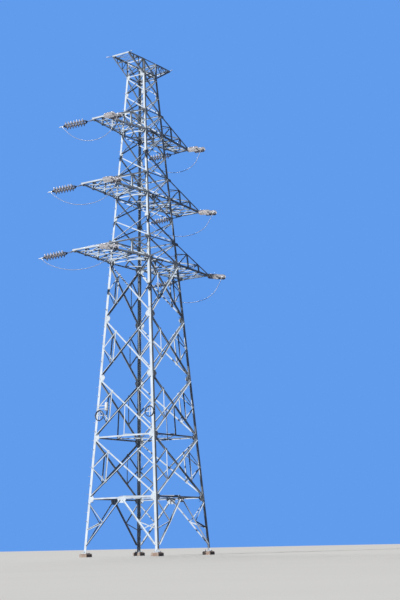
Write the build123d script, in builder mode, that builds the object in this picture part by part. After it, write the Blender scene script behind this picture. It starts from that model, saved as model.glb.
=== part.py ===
"""Lattice transmission pylon: a four-legged, double-circuit tension tower with three pairs of crossarms.

Millimetres, +Z up. The origin is the setting-out point on the ground, midway between the four
footings. The crossarms run along X and the line along Y. The front is -Y and the left is -X.
"""
import os
from math import atan, cos, degrees, hypot, radians, sin, tan

from build123d import *

os.makedirs("parts", exist_ok=True)

# Body: one straight taper from the ground to the peak, then an upright box
base_half = 2290.0
peak_half = 577.0
peak_level = 25200.0
top_level = 26050.0
body_taper = (base_half - peak_half) / peak_level

# Levels of the lower body panels and of the arms
knee_level = 2870.0
lower_levels = [knee_level, 5940.0, 8980.0, 12060.0]
waist_level = 15000.0
arm_spacing = 3500.0
arm_depth = 1150.0
arm_levels = {
    "lower": waist_level, "middle": waist_level + arm_spacing, "upper": waist_level + 2 * arm_spacing,
}

# Rolled angles: leg of the angle and its wall
lower_leg, upper_leg, leg_wall = 140.0, 110.0, 12.0
splice_level = waist_level + arm_depth / 2
lower_bar, lower_wall = 75.0, 7.0
upper_bar, upper_wall = 56.0, 6.0
plan_bar, plan_wall = 56.0, 6.0
bar_gap = 5.0
node_step = 45.0
washer = 60.0

# Footings and base plates
footing_size, footing_height, footing_chamfer = 460.0, 180.0, 40.0
base_plate, base_plate_wall = 300.0, 20.0
foot_level = footing_height + base_plate_wall

# Knee bracing of the bottom panel
knee_foot_level = 420.0
knee_apex_half, knee_apex_drop = 95.0, 100.0
knee_strut_level = 1300.0
knee_tie_level = 2700.0
knee_strut = 50.0
knee_strut_wall = 5.0
gusset_width, gusset_foot, gusset_height = 520.0, 260.0, 300.0

# Crossarms: reach from the axis and half width of the end, for each level
arm_reach = {"lower": 4790.0, "middle": 4290.0, "upper": 3770.0}
arm_end_half = {"lower": 890.0, "middle": 725.0, "upper": 410.0}
earth_reach, earth_end_half, earth_arm_depth = 1864.0, 545.0, 795.0
chord, chord_wall = 80.0, 8.0
slant_chord, slant_wall = 70.0, 7.0
lacing, lacing_wall, lacing_seat = 45.0, 5.0, 3.0
root_overrun = 160.0
arm_bays = 3
tip_plate_width, tip_plate_length, tip_plate_wall = 150.0, 230.0, 12.0
tip_plate_reach = 90.0

# Strain strings: two rows of discs side by side between two yoke plates
disc_count, disc_pitch, disc_radius, cap_radius = 7, 146.0, 140.0, 48.0
disc_sides = 6
row_offset = 200.0
pin_radius, pin_length = 20.0, 12.0
link_length, link_width, link_wall = 280.0, 30.0, 16.0
yoke_depth, yoke_wall, yoke_edge = 110.0, 16.0, 25.0
clamp_length, clamp_radius, clamp_lip, clamp_sides = 250.0, 30.0, 2.0, 8
shackle_length, shackle_width, shackle_height = 80.0, 44.0, 30.0
string_turn = 30.0
rear_dip, front_dip = 10.0, 12.0
yoke_lap = 30.0
row_start = link_length + yoke_depth - yoke_lap
row_length = disc_count * disc_pitch + 2 * pin_length
clamp_start = row_start + row_length + yoke_depth - yoke_lap

# Jumper between the two clamps of an arm's end, and the lug that carries it
jumper_diameter, jumper_sides = 28.0, 6
lug_inset = 110.0
lug_place = clamp_start + lug_inset
lug_length, lug_radius = 150.0, 20.0
rear_lug_slope, front_lug_slope = 45.0, 62.0
jumper_first_run, jumper_last_run = 240.0, 220.0
bend_share = 0.45

# The jumper's route between its end runs: share of the way from rear to front, and drop below the arm.
# What lies below the shoulder is scaled by the depth of each arm's jumper, on the left and on the right.
jumper_route = [
    (0.110, 770.0), (0.170, 920.0), (0.235, 1055.0), (0.305, 1170.0), (0.375, 1260.0), (0.450, 1322.0),
    (0.525, 1358.0), (0.600, 1368.0), (0.675, 1352.0), (0.750, 1305.0), (0.820, 1220.0), (0.880, 1105.0),
    (0.925, 930.0),
]
jumper_shoulder = 570.0
jumper_depth = {"lower": (0.80, 1.20), "middle": (0.95, 1.05), "upper": (1.05, 1.05)}

# Fibre cable coils on their cross racks, and the joint box, all on the left face
coil_radius, coil_thickness, coil_sides, coil_edge = 255.0, 62.0, 16, 18.0
coil_level, coil_inset = 7050.0, 235.0
rack_length, rack_width, rack_wall = 600.0, 40.0, 6.0
box_radius, box_height, box_level, box_inset = 105.0, 450.0, 7460.0, 700.0
box_sides = 16
bracket_spread, bracket_end = 160.0, 15.0


class Face:
    """The front side of the body: its outer plane, with x to the right and y up the slope."""

    def __init__(self, foot_half, foot_level, taper):
        self.foot_half, self.foot_level, self.taper = foot_half, foot_level, taper
        self.slant = hypot(1, taper)
        self.plane = Plane(origin=(0, -foot_half, foot_level), x_dir=(1, 0, 0), z_dir=(0, -1, taper))

    def half(self, level):
        """Half width over the legs at a level."""
        return self.foot_half - self.taper * (level - self.foot_level)

    def up(self, level):
        """Distance up the slope to a level."""
        return (level - self.foot_level) * self.slant

    def heel(self, side, level):
        """Corner of the leg on one side (-1 left, 1 right) in the face's own plane."""
        return Vector(side * self.half(level), self.up(level))

    def between_legs(self, side, low, high, width, clear):
        """Ends of a bar from one leg up to the other, kept clear of the corners by its square ends."""
        start, end = self.heel(side, low), self.heel(-side, high)
        return self.clear_end(start, end, side, width, clear), self.clear_end(end, start, -side, width, clear)

    def clear_end(self, start, end, side, width, clear):
        """Point on the line from start to end where a square end clears the leg's corner."""
        along = (end - start).normalized()
        leg_line = Vector(-side * self.taper, self.slant).normalized()
        lean, across = abs(along.dot(leg_line)), along.cross(leg_line).length
        return start + along * ((clear + width / 2 * lean) / across)


def half_width(level):
    """Half width over the legs at any level."""
    return base_half - body_taper * level if level < peak_level else peak_half


def angle_bar(plane, start, end, width, wall, seat=0.0, growth=1, lip=1):
    """Rolled angle on a plane: one flange lies at the seat, the other stands up from its edge.

    growth is 1 where the bar stands outward and -1 inward; lip picks the edge that stands.
    """
    foot = plane.from_local_coords((start.X, start.Y, seat))
    head = plane.from_local_coords((end.X, end.Y, seat))
    run = head - foot
    edge = lip * width / 2
    inner = edge - lip * wall
    with BuildPart() as bar:
        with BuildSketch(Plane(origin=foot, x_dir=plane.z_dir * growth, z_dir=run)):
            with BuildLine():
                Polyline(
                    (0, -edge), (wall, -edge), (wall, inner), (width, inner), (width, edge), (0, edge),
                    close=True,
                )
            make_face()
        extrude(amount=run.length)
    return bar.part


def flat_bar(plane, start, end, width, wall, seat=0.0):
    """Flat bar on a plane, standing up from the seat by its wall."""
    foot = plane.from_local_coords((start.X, start.Y, seat))
    head = plane.from_local_coords((end.X, end.Y, seat))
    run = head - foot
    with BuildPart() as bar:
        with BuildSketch(Plane(origin=foot, x_dir=plane.z_dir, z_dir=run)):
            Rectangle(wall, width, align=(Align.MIN, Align.CENTER))
        extrude(amount=run.length)
    return bar.part


def cross_panel(face, low, high, width, wall):
    """One crossed pair: a bar outside the legs, a bar inside them and the filler where they cross."""
    clear = leg_wall + width + bar_gap
    outer = face.between_legs(-1, low + node_step, high - node_step, width, clear)
    inner = face.between_legs(1, low + node_step, high - node_step, width, clear)
    share = face.half(low) / (face.half(low) + face.half(high))
    middle = low + node_step + share * (high - low - 2 * node_step)
    with BuildPart() as panel:
        add(angle_bar(face.plane, *outer, width, wall))
        add(angle_bar(face.plane, *inner, width, wall, seat=-leg_wall, growth=-1))
        with BuildSketch(face.plane.offset(-leg_wall)):
            with Locations((0, face.up(middle))):
                Rectangle(washer, washer)
        extrude(amount=leg_wall)
    return panel.part


def ledge_bar(face, level, width, wall):
    """Horizontal angle inside the legs, its back against them and its level ledge pointing inward."""
    clear = leg_wall + width + bar_gap
    length = 2 * (face.half(level) - clear - face.taper * width)
    low, high = level - width / 2, level + width / 2
    back = {edge: -face.half(edge) + leg_wall * face.slant for edge in (low, high, high - wall)}
    with BuildPart() as bar:
        with BuildSketch(Plane.YZ):
            with BuildLine():
                Polyline(
                    (back[low], low), (back[high], high), (back[high] + width, high),
                    (back[high] + width, high - wall), (back[high - wall] + wall, high - wall),
                    (back[low] + wall, low), close=True,
                )
            make_face()
        extrude(amount=length / 2, both=True)
    return bar.part


def knee_gusset(face):
    """Plate at the middle of the knee-level horizontal, between it and the knee bars."""
    top, bottom = face.up(knee_level + lower_bar / 2), face.up(knee_level + lower_bar / 2 - gusset_height)
    middle = (top + bottom) / 2
    with BuildPart() as plate:
        with BuildSketch(face.plane.offset(-leg_wall)):
            with BuildLine():
                Polyline(
                    (-gusset_width / 2, top), (gusset_width / 2, top), (gusset_width / 2, middle),
                    (gusset_foot / 2, bottom), (-gusset_foot / 2, bottom), (-gusset_width / 2, middle),
                    close=True,
                )
            make_face()
        extrude(amount=leg_wall)
    return plate.part


def leg_section(corner_x, corner_y, width):
    """Angle section of a leg, its heel at the corner and its flanges along the two faces."""
    inward_x, inward_y = (-1 if corner_x > 0 else 1), (-1 if corner_y > 0 else 1)
    with BuildSketch() as section:
        with BuildLine():
            Polyline(
                (corner_x, corner_y), (corner_x + inward_x * width, corner_y),
                (corner_x + inward_x * width, corner_y + inward_y * leg_wall),
                (corner_x + inward_x * leg_wall, corner_y + inward_y * leg_wall),
                (corner_x + inward_x * leg_wall, corner_y + inward_y * width),
                (corner_x, corner_y + inward_y * width), close=True,
            )
        make_face()
    return section.sketch


# Everything on a face is modelled on the front and turned to the other sides
turns = {"front": 0, "right": 90, "back": 180, "left": 270}
body_face = Face(base_half, 0.0, body_taper)
peak_face = Face(peak_half, peak_level, 0.0)
corners = {"front_left": (-1, -1), "front_right": (1, -1), "back_right": (1, 1), "back_left": (-1, 1)}

# Footings: one low concrete cap under each leg
cap_inset = (base_plate - lower_leg) / 2
with BuildPart() as footings:
    foot_middle = half_width(footing_height) - base_plate / 2 + cap_inset
    for side_x, side_y in corners.values():
        with BuildSketch():
            with Locations((side_x * foot_middle, side_y * foot_middle)):
                Rectangle(footing_size, footing_size)
        extrude(amount=footing_height)
    chamfer(footings.edges().group_by(Axis.Z)[-1], length=footing_chamfer)
footings.part.label = "footings"
export_step(footings.part, "parts/footings.step")

# Legs: a lower length on its base plate, and an upper length that bends upright at the peak
for name, (side_x, side_y) in corners.items():
    climb = Vector(-side_x * body_taper, -side_y * body_taper, 1)
    with BuildPart() as leg_lower:
        with BuildSketch(Plane.XY.offset(footing_height)):
            with Locations((side_x * foot_middle, side_y * foot_middle)):
                Rectangle(base_plate, base_plate)
        extrude(amount=base_plate_wall)
        corner = half_width(foot_level)
        with BuildSketch(Plane.XY.offset(foot_level)):
            add(leg_section(side_x * corner, side_y * corner, lower_leg))
        extrude(amount=(splice_level - foot_level) * climb.length, dir=climb)
    leg_lower.part.label = f"leg_lower_{name}"
    export_step(leg_lower.part, f"parts/leg_lower_{name}.step")

    with BuildPart() as leg_upper:
        corner = half_width(splice_level)
        with BuildSketch(Plane.XY.offset(splice_level)):
            add(leg_section(side_x * corner, side_y * corner, upper_leg))
        extrude(amount=(peak_level - splice_level) * climb.length, dir=climb)
        with BuildSketch(Plane.XY.offset(peak_level)):
            add(leg_section(side_x * peak_half, side_y * peak_half, upper_leg))
        extrude(amount=top_level - peak_level)
    leg_upper.part.label = f"leg_upper_{name}"
    export_step(leg_upper.part, f"parts/leg_upper_{name}.step")


def write_turned(front, name):
    """Write a sub-part of the front face and its copies on the other three faces."""
    for side, turn in turns.items():
        with BuildPart() as turned:
            add(front, rotation=(0, 0, turn))
        turned.part.label = f"{name}_{side}"
        export_step(turned.part, f"parts/{name}_{side}.step")


# Knee bracing of the bottom panel: one flat triangle beside each leg, open between the two
knee_clear = leg_wall + lower_bar + bar_gap
with BuildPart() as knee_bracing:
    for side in (-1, 1):
        apex = Vector(side * knee_apex_half, body_face.up(knee_level - knee_apex_drop))
        foot = body_face.clear_end(body_face.heel(side, knee_foot_level), apex, side, lower_bar, knee_clear)
        middle = (foot + apex) * 0.5
        add(angle_bar(body_face.plane, foot, apex, lower_bar, lower_wall, lip=-side))
        for level in (knee_strut_level, knee_tie_level):
            start = body_face.clear_end(body_face.heel(side, level), middle, side, knee_strut, knee_clear)
            add(angle_bar(body_face.plane, start, middle, knee_strut, knee_strut_wall, lip=side))
write_turned(knee_bracing.part, "knee_bracing")

# Lower body bracing: crossed panels from the knee level to the waist, with two horizontals
with BuildPart() as lower_bracing:
    for low, high in zip(lower_levels, lower_levels[1:] + [waist_level]):
        add(cross_panel(body_face, low, high, lower_bar, lower_wall))
    for level in lower_levels[:2]:
        add(ledge_bar(body_face, level, lower_bar, lower_wall))
    add(knee_gusset(body_face))
write_turned(lower_bracing.part, "lower_bracing")

# Upper body bracing: crossed panels and horizontals from the waist to the top
cage_levels = []
for level in arm_levels.values():
    cage_levels += [level, level + arm_depth, level + (arm_depth + arm_spacing) / 2]
cage_levels[-1] = (cage_levels[-2] + peak_level) / 2
horizontal_levels = [level + rise for level in arm_levels.values() for rise in (0.0, arm_depth)]
with BuildPart() as upper_bracing:
    for low, high in zip(cage_levels, cage_levels[1:] + [peak_level]):
        add(cross_panel(body_face, low, high, upper_bar, upper_wall))
    for level in horizontal_levels:
        add(ledge_bar(body_face, level, upper_bar, upper_wall))
    add(cross_panel(peak_face, peak_level, top_level, upper_bar, upper_wall))
    add(ledge_bar(peak_face, peak_level, upper_bar, upper_wall))
    add(ledge_bar(peak_face, top_level - upper_bar / 2, upper_bar, upper_wall))
write_turned(upper_bracing.part, "upper_bracing")


def plan_frame(level, seat_width, with_cross):
    """Diamond of angles that links the middles of the four horizontals, resting on their ledges."""
    plane = Plane.XY
    seat = level + seat_width / 2
    reach = half_width(seat) - leg_wall - seat_width / 2 - bar_gap
    middles = [Vector(0, -reach), Vector(reach, 0), Vector(0, reach), Vector(-reach, 0)]
    with BuildPart() as frame:
        for start, end in zip(middles, middles[1:] + middles[:1]):
            add(angle_bar(plane, start, end, plan_bar, plan_wall, seat=seat))
        if with_cross:
            for start, end in zip(middles[:2], middles[2:]):
                add(flat_bar(plane, start, end, plan_bar, plan_wall, seat=seat))
    return frame.part


# Plan bracing inside the body
with BuildPart() as plan_bracing_lower:
    for level in lower_levels[:2]:
        add(plan_frame(level, lower_bar, True))
plan_bracing_lower.part.label = "plan_bracing_lower"
export_step(plan_bracing_lower.part, "parts/plan_bracing_lower.step")

with BuildPart() as plan_bracing_arms:
    for level in arm_levels.values():
        add(plan_frame(level, upper_bar, False))
plan_bracing_arms.part.label = "plan_bracing_arms"
export_step(plan_bracing_arms.part, "parts/plan_bracing_arms.step")


def arm_side(flat_root, slant_root, tip, way):
    """One side truss of an arm on its own plane: both chords and the lacing between them.

    way is 1 where the slanted chord is above the flat one and -1 where it is below.
    """
    outward = (slant_root - tip).cross(flat_root - tip) * way
    plane = Plane(origin=flat_root, x_dir=tip - flat_root, z_dir=outward)
    root = plane.to_local_coords(slant_root)
    length = (tip - flat_root).length
    flat_axis = [Vector(-root_overrun, way * chord / 2), Vector(length, way * chord / 2)]
    slant_start = Vector(root.X, root.Y)
    slant_end = Vector(length, way * slant_chord / 2)
    lean = (slant_end - slant_start).normalized()
    slant_axis = [slant_start - lean * root_overrun, slant_end]
    bars = [
        angle_bar(plane, *flat_axis, chord, chord_wall, growth=-1, lip=-way),
        angle_bar(plane, *slant_axis, slant_chord, slant_wall, growth=-1, lip=way),
    ]
    lower = [Vector(length * step / arm_bays, way * chord / 2) for step in range(arm_bays)]
    upper = [slant_start + (slant_end - slant_start) * (step / arm_bays) for step in range(arm_bays)]
    for step in range(1, arm_bays):
        for start in (lower[step], lower[step - 1] + Vector(chord * (step == 1), 0)):
            web = angle_bar(plane, start, upper[step], lacing, lacing_wall, seat=-chord_wall, growth=-1)
            bars.append(web)
    return bars


def arm(level, reach, end_half, way, depth, root_taper):
    """Right-hand arm: two side trusses, the end bar, plan lacing and the plates that take the strings."""
    flat_half, slant_half = half_width(level), half_width(level + way * depth)
    flat_root = Vector(flat_half, -flat_half, level)
    slant_root = Vector(slant_half, -slant_half, level + way * depth)
    tip = Vector(reach, -end_half, level)
    flat_plane = Plane(origin=(0, 0, level), x_dir=(1, 0, 0), z_dir=(0, 0, way))
    end_plane = Plane(origin=(reach, 0, level), x_dir=(0, 1, 0), z_dir=(1, 0, 0))
    slant_run = Vector(reach - slant_half, 0, way * (slant_chord / 2 - depth))
    slant_out = slant_run.cross(Vector(0, 1, 0)) * way
    slant_plane = Plane(origin=(slant_half, 0, level + way * depth), x_dir=slant_run, z_dir=slant_out)
    edge = chord / 2

    def flat_node(step, side):
        share = step / arm_bays
        across = (flat_half + (end_half - flat_half) * share - edge) * side * way
        return Vector(flat_half + (reach - flat_half) * share, across)

    def slant_node(step, side):
        share = step / arm_bays
        across = (slant_half + (end_half - slant_half) * share - edge) * side * way
        return Vector(slant_run.length * share, across)

    with BuildPart() as body:
        sides = arm_side(flat_root, slant_root, tip, way)
        add(sides)
        add([bar.mirror(Plane.XZ) for bar in sides])
        end_start, end_stop = Vector(-end_half, way * edge), Vector(end_half, way * edge)
        add(angle_bar(end_plane, end_start, end_stop, chord, chord_wall, growth=-1, lip=-way))
        for step in range(1, arm_bays):
            flat_ends = flat_node(step, -1), flat_node(step, 1)
            add(flat_bar(flat_plane, *flat_ends, lacing, lacing_wall, seat=lacing_seat))
            slant_ends = slant_node(step, -1), slant_node(step, 1)
            add(flat_bar(slant_plane, *slant_ends, lacing, lacing_wall, seat=slant_chord / 2 - slant_wall))
        for step in range(arm_bays):
            side = 1 if step % 2 else -1
            start = flat_node(step, -side) + Vector(chord * (step == 0), 0)
            stop = flat_node(step + 1, side) - Vector(edge * (step == arm_bays - 1), 0)
            add(flat_bar(flat_plane, start, stop, lacing, lacing_wall, seat=lacing_seat))
        if way > 0:
            for side in (-1, 1):
                with BuildSketch(Plane.XY.offset(level)):
                    with Locations((reach - tip_plate_width / 2, side * (end_half + tip_plate_reach))):
                        along = Align.MAX if side > 0 else Align.MIN
                        Rectangle(tip_plate_width, tip_plate_length, align=(Align.CENTER, along))
                extrude(amount=-tip_plate_wall)
        root_plane = Plane(origin=(flat_half, 0, level), x_dir=(0, 1, 0), z_dir=(1, 0, root_taper))
        split(bisect_by=root_plane, keep=Keep.TOP)
    return body.part


# Crossarms and earth wire arms: modelled on the right and mirrored to the left
for name, level in arm_levels.items():
    with BuildPart() as crossarm_right:
        add(arm(level, arm_reach[name], arm_end_half[name], 1, arm_depth, body_taper))
    crossarm_right.part.label = f"crossarm_{name}_right"
    export_step(crossarm_right.part, f"parts/crossarm_{name}_right.step")
    with BuildPart() as crossarm_left:
        add(crossarm_right.part)
        mirror(about=Plane.YZ, mode=Mode.REPLACE)
    crossarm_left.part.label = f"crossarm_{name}_left"
    export_step(crossarm_left.part, f"parts/crossarm_{name}_left.step")

with BuildPart() as earth_arm_right:
    add(arm(top_level, earth_reach, earth_end_half, -1, earth_arm_depth, 0.0))
earth_arm_right.part.label = "earth_arm_right"
export_step(earth_arm_right.part, "parts/earth_arm_right.step")
with BuildPart() as earth_arm_left:
    add(earth_arm_right.part)
    mirror(about=Plane.YZ, mode=Mode.REPLACE)
earth_arm_left.part.label = "earth_arm_left"
export_step(earth_arm_left.part, "parts/earth_arm_left.step")


def string_heading(end):
    """Direction of a string: end is 1 at the rear and -1 at the front, and both turn to the left."""
    turn, dip = radians(string_turn), radians(rear_dip if end > 0 else front_dip)
    return Vector(-sin(turn) * cos(dip), end * cos(turn) * cos(dip), -sin(dip))


def string_plane(x, end_half, level, end):
    """Plane at a string's tower end: z along the string and x upward."""
    anchor = Vector(x, end * (end_half + tip_plate_reach / 2), level - tip_plate_wall - shackle_height / 2)
    heading = string_heading(end)
    side = heading.cross(Vector(0, 0, 1)).normalized()
    return Plane(origin=anchor, x_dir=side.cross(heading), z_dir=heading)


def tapered_prism(wide_end, wide_radius, narrow_radius, length, sides):
    """Prism with flat, leaning sides, from its wide end along the plane's z to its narrow end."""
    flat_step = (wide_radius - narrow_radius) * cos(radians(180 / sides))
    with BuildPart() as prism:
        with BuildSketch(wide_end):
            RegularPolygon(wide_radius, sides)
        extrude(amount=length, taper=degrees(atan(flat_step / length)))
    return prism.part


# Both rows of a string, along Z: each disc widens from its cap to a rim that faces the line
with BuildPart() as disc_rows:
    for offset in (-row_offset, row_offset):
        with BuildSketch(Plane.XY.offset(row_start)):
            with Locations((0, offset)):
                RegularPolygon(pin_radius, disc_sides)
        extrude(amount=row_length)
        for disc in range(disc_count):
            rim_place = row_start + pin_length + (disc + 1) * disc_pitch
            rim = Plane(origin=(0, offset, rim_place), x_dir=(1, 0, 0), z_dir=(0, 0, -1))
            add(tapered_prism(rim, disc_radius, cap_radius, disc_pitch, disc_sides))


def yoke_plane(plane):
    """Plane through both rows of a string that holds its yoke plates: x along the string and y across it."""
    return Plane(origin=plane.origin, x_dir=plane.z_dir, z_dir=plane.x_dir)


def tower_fitting(plane):
    """Shackle under the arm's tip plate, the link and the yoke plate that spreads the two rows."""
    flat = yoke_plane(plane)
    half = row_offset + yoke_edge
    with BuildPart() as fitting:
        with BuildSketch(flat.offset(-link_wall / 2)):
            Rectangle(link_length, link_width, align=(Align.MIN, Align.CENTER))
            with BuildLine():
                Polyline(
                    (row_start - yoke_depth, yoke_edge), (row_start, half), (row_start, -half),
                    (row_start - yoke_depth, -yoke_edge), close=True,
                )
            make_face()
        extrude(amount=link_wall)
        with BuildSketch(Plane.XY.offset(plane.origin.Z - shackle_height / 2)):
            with Locations((plane.origin.X, plane.origin.Y)):
                Rectangle(shackle_width, shackle_length)
        extrude(amount=shackle_height)
    return fitting.part


def line_fitting(plane, end):
    """Yoke plate that gathers the two rows, the dead-end clamp and its jumper lug."""
    flat = yoke_plane(plane)
    half = row_offset + yoke_edge
    stop = row_start + row_length
    lug = Plane(origin=plane.from_local_coords((0, 0, lug_place)), z_dir=lug_direction(end))
    with BuildPart() as fitting:
        with BuildSketch(flat.offset(-yoke_wall / 2)):
            with BuildLine():
                Polyline(
                    (stop, half), (stop + yoke_depth, yoke_edge),
                    (stop + yoke_depth, -yoke_edge), (stop, -half), close=True,
                )
            make_face()
        extrude(amount=yoke_wall)
        mouth_radius = jumper_diameter / 2 + clamp_lip
        add(tapered_prism(plane.offset(clamp_start), clamp_radius, mouth_radius, clamp_length, clamp_sides))
        with BuildSketch(lug):
            RegularPolygon(lug_radius, clamp_sides)
        extrude(amount=lug_length)
    return fitting.part


def lug_direction(end):
    """Way a jumper leaves its clamp: down and towards the clamp at the arm's other end."""
    slope = radians(rear_lug_slope if end > 0 else front_lug_slope)
    return Vector(0, -end * cos(slope), -sin(slope))


def jumper_points(rear, front, level, depth):
    """Route of a jumper from the rear lug to the front lug."""
    start, stop = (
        plane.from_local_coords((0, 0, lug_place)) + lug_direction(end) * lug_length
        for plane, end in ((rear, 1), (front, -1))
    )
    across, middle = stop - start, []
    for share, drop in jumper_route:
        height = level - jumper_shoulder - depth * (drop - jumper_shoulder)
        middle.append(Vector(start.X + across.X * share, start.Y + across.Y * share, height))
    return [start, start + lug_direction(1) * jumper_first_run, *middle,
            stop + lug_direction(-1) * jumper_last_run, stop]


def jumper_radii(points):
    """Radius of each bend: a share of its shorter run over the tangent of half the turn."""
    radii = []
    for before, here, after in zip(points, points[1:], points[2:]):
        turn = (here - before).get_angle(after - here)
        radii.append(bend_share * min((here - before).length, (after - here).length) / tan(radians(turn / 2)))
    return radii


# Strain strings, their fittings and the jumpers, for each arm's end
for name, level in arm_levels.items():
    for hand, side, depth in zip(("left", "right"), (-1, 1), jumper_depth[name]):
        tip_x = side * (arm_reach[name] - tip_plate_width / 2)
        rear = string_plane(tip_x, arm_end_half[name], level, 1)
        front = string_plane(tip_x, arm_end_half[name], level, -1)

        with BuildPart() as insulators:
            with Locations(rear, front):
                add(disc_rows.part)
        insulators.part.label = f"insulators_{name}_{hand}"
        export_step(insulators.part, f"parts/insulators_{name}_{hand}.step")

        with BuildPart() as string_fittings:
            for plane, end in ((rear, 1), (front, -1)):
                add(tower_fitting(plane))
                add(line_fitting(plane, end))
        string_fittings.part.label = f"string_fittings_{name}_{hand}"
        export_step(string_fittings.part, f"parts/string_fittings_{name}_{hand}.step")

        points = jumper_points(rear, front, level, depth)
        radii = jumper_radii(points)
        with BuildPart() as jumper:
            with BuildLine() as route:
                FilletPolyline(*points, radius=radii)
            with BuildSketch(Plane(origin=points[0], z_dir=points[1] - points[0])):
                RegularPolygon(jumper_diameter / 2, jumper_sides)
            sweep()
        print(name, hand, "jumper", round(route.wires()[0].length), "mm, volume", round(jumper.part.volume),
              "radii", [round(radius) for radius in radii])
        jumper.part.label = f"jumper_{name}_{hand}"
        export_step(jumper.part, f"parts/jumper_{name}_{hand}.step")


def coil_ring(plane, centre):
    """Closed ring of few sides with its long edges cut off, which stands for the tied turns."""
    with BuildPart() as ring:
        with BuildSketch(plane):
            with Locations((centre.X, centre.Y)):
                RegularPolygon(coil_radius + coil_thickness / 2, coil_sides)
                RegularPolygon(coil_radius - coil_thickness / 2, coil_sides, mode=Mode.SUBTRACT)
        extrude(amount=coil_thickness)
        chamfer(ring.faces().sort_by(Axis(plane.origin, plane.z_dir))[-1].edges(), length=coil_edge)
    return ring.part


def cable_coil(side):
    """Coil of spare cable on a cross of flat bars beside one leg, modelled on the front face."""
    centre = Vector(side * (body_face.half(coil_level) - coil_inset), body_face.up(coil_level))
    with BuildPart() as coil:
        for across in (Vector(1, 0), Vector(0, 1)):
            reach = across * (rack_length / 2)
            add(flat_bar(body_face.plane, centre - reach, centre + reach, rack_width, rack_wall))
        add(coil_ring(body_face.plane.offset(rack_wall), centre))
    return coil.part


for name, side in (("front", 1), ("back", -1)):
    with BuildPart() as coil_rack:
        add(cable_coil(side), rotation=(0, 0, turns["left"]))
    coil_rack.part.label = f"cable_coil_{name}"
    export_step(coil_rack.part, f"parts/cable_coil_{name}.step")

# Joint box: a closed cylinder on two brackets that reach out from the back left leg
with BuildPart() as joint_box_front:
    for level in (box_level - bracket_spread / 2, box_level + bracket_spread / 2):
        up = body_face.up(level)
        leg_end = Vector(bracket_end - body_face.half(level), up)
        box_end = Vector(box_inset - body_face.half(level), up)
        add(flat_bar(body_face.plane, leg_end, box_end, rack_width, rack_wall))
    box_middle = Vector(box_inset - body_face.half(box_level), body_face.up(box_level))
    with BuildSketch(Plane(origin=body_face.plane.from_local_coords((box_middle.X, box_middle.Y, 0)),
                           x_dir=(1, 0, 0), z_dir=body_face.plane.y_dir)):
        with Locations((0, -box_radius)):
            RegularPolygon(box_radius, box_sides)
    extrude(amount=box_height / 2, both=True)
with BuildPart() as joint_box:
    add(joint_box_front.part, rotation=(0, 0, turns["left"]))
joint_box.part.label = "joint_box"
export_step(joint_box.part, "parts/joint_box.step")
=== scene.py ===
"""Dresses the lattice transmission pylon: jumper cables, insulator strings, plates, bolts and finer bracing.

Metres, +Z up, in the same frame as the solids. The crossarms run along X, the line runs along Y,
the front is -Y and the left is -X.
"""
import logging
import math
from dataclasses import dataclass, field
from enum import Enum
from random import Random
from typing import Iterable, Sequence

import bmesh
import bpy
from mathutils import Matrix, Vector, noise


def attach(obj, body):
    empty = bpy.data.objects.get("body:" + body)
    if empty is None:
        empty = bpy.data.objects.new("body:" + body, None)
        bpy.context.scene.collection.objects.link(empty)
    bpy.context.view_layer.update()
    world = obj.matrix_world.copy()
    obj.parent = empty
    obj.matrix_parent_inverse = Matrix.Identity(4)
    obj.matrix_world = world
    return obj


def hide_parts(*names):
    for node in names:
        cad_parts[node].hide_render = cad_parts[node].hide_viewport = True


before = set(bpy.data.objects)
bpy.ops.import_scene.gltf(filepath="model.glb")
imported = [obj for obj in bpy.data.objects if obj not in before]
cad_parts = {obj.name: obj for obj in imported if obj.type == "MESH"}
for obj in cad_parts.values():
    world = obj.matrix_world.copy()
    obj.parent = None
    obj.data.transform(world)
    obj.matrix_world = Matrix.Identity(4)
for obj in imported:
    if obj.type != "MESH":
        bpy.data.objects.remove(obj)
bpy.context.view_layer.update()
log = logging.getLogger("pylon")
QUARTER_TURN = math.pi / 2
UP = Vector((0.0, 0.0, 1.0))
Point = tuple[float, float]
Band = tuple[float, float]
Colour = tuple[float, float, float]
Socket = bpy.types.NodeSocket


class Side(Enum):
    """The four sides of the body, by their turn about Z from the front."""

    FRONT = 0
    RIGHT = 90
    BACK = 180
    LEFT = 270


class Layer(Enum):
    """Which face of the leg flange a bar lies on."""

    OUTSIDE = 1
    INSIDE = -1


class Slot(Enum):
    """Material slots of the part's record."""

    CONCRETE = "concrete"
    LEG = "galvanized_leg"
    BRACING = "galvanized_bracing"
    ARM = "galvanized_arm"
    PORCELAIN = "porcelain"
    FITTINGS = "forged_fittings"
    CONDUCTOR = "aluminium_conductor"
    SHEATH = "cable_sheath"
    BOX = "box_paint"


@dataclass(frozen=True)
class Pattern:
    """Noise that shows in a band of its values: features per metre, octaves, band and stretch by axis."""

    scale: float
    detail: float = 4.0
    band: Band = (0.35, 0.70)
    stretch: tuple[float, float, float] | None = None


@dataclass(frozen=True)
class Relief:
    """Fine unevenness of a surface: features per metre, octaves, weight and height in metres."""

    scale: float
    detail: float
    strength: float
    depth: float


def darkened(colour: Colour, share: float) -> Colour:
    """Colour with each of its parts multiplied by a share."""
    return tuple(share * part for part in colour)


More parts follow.
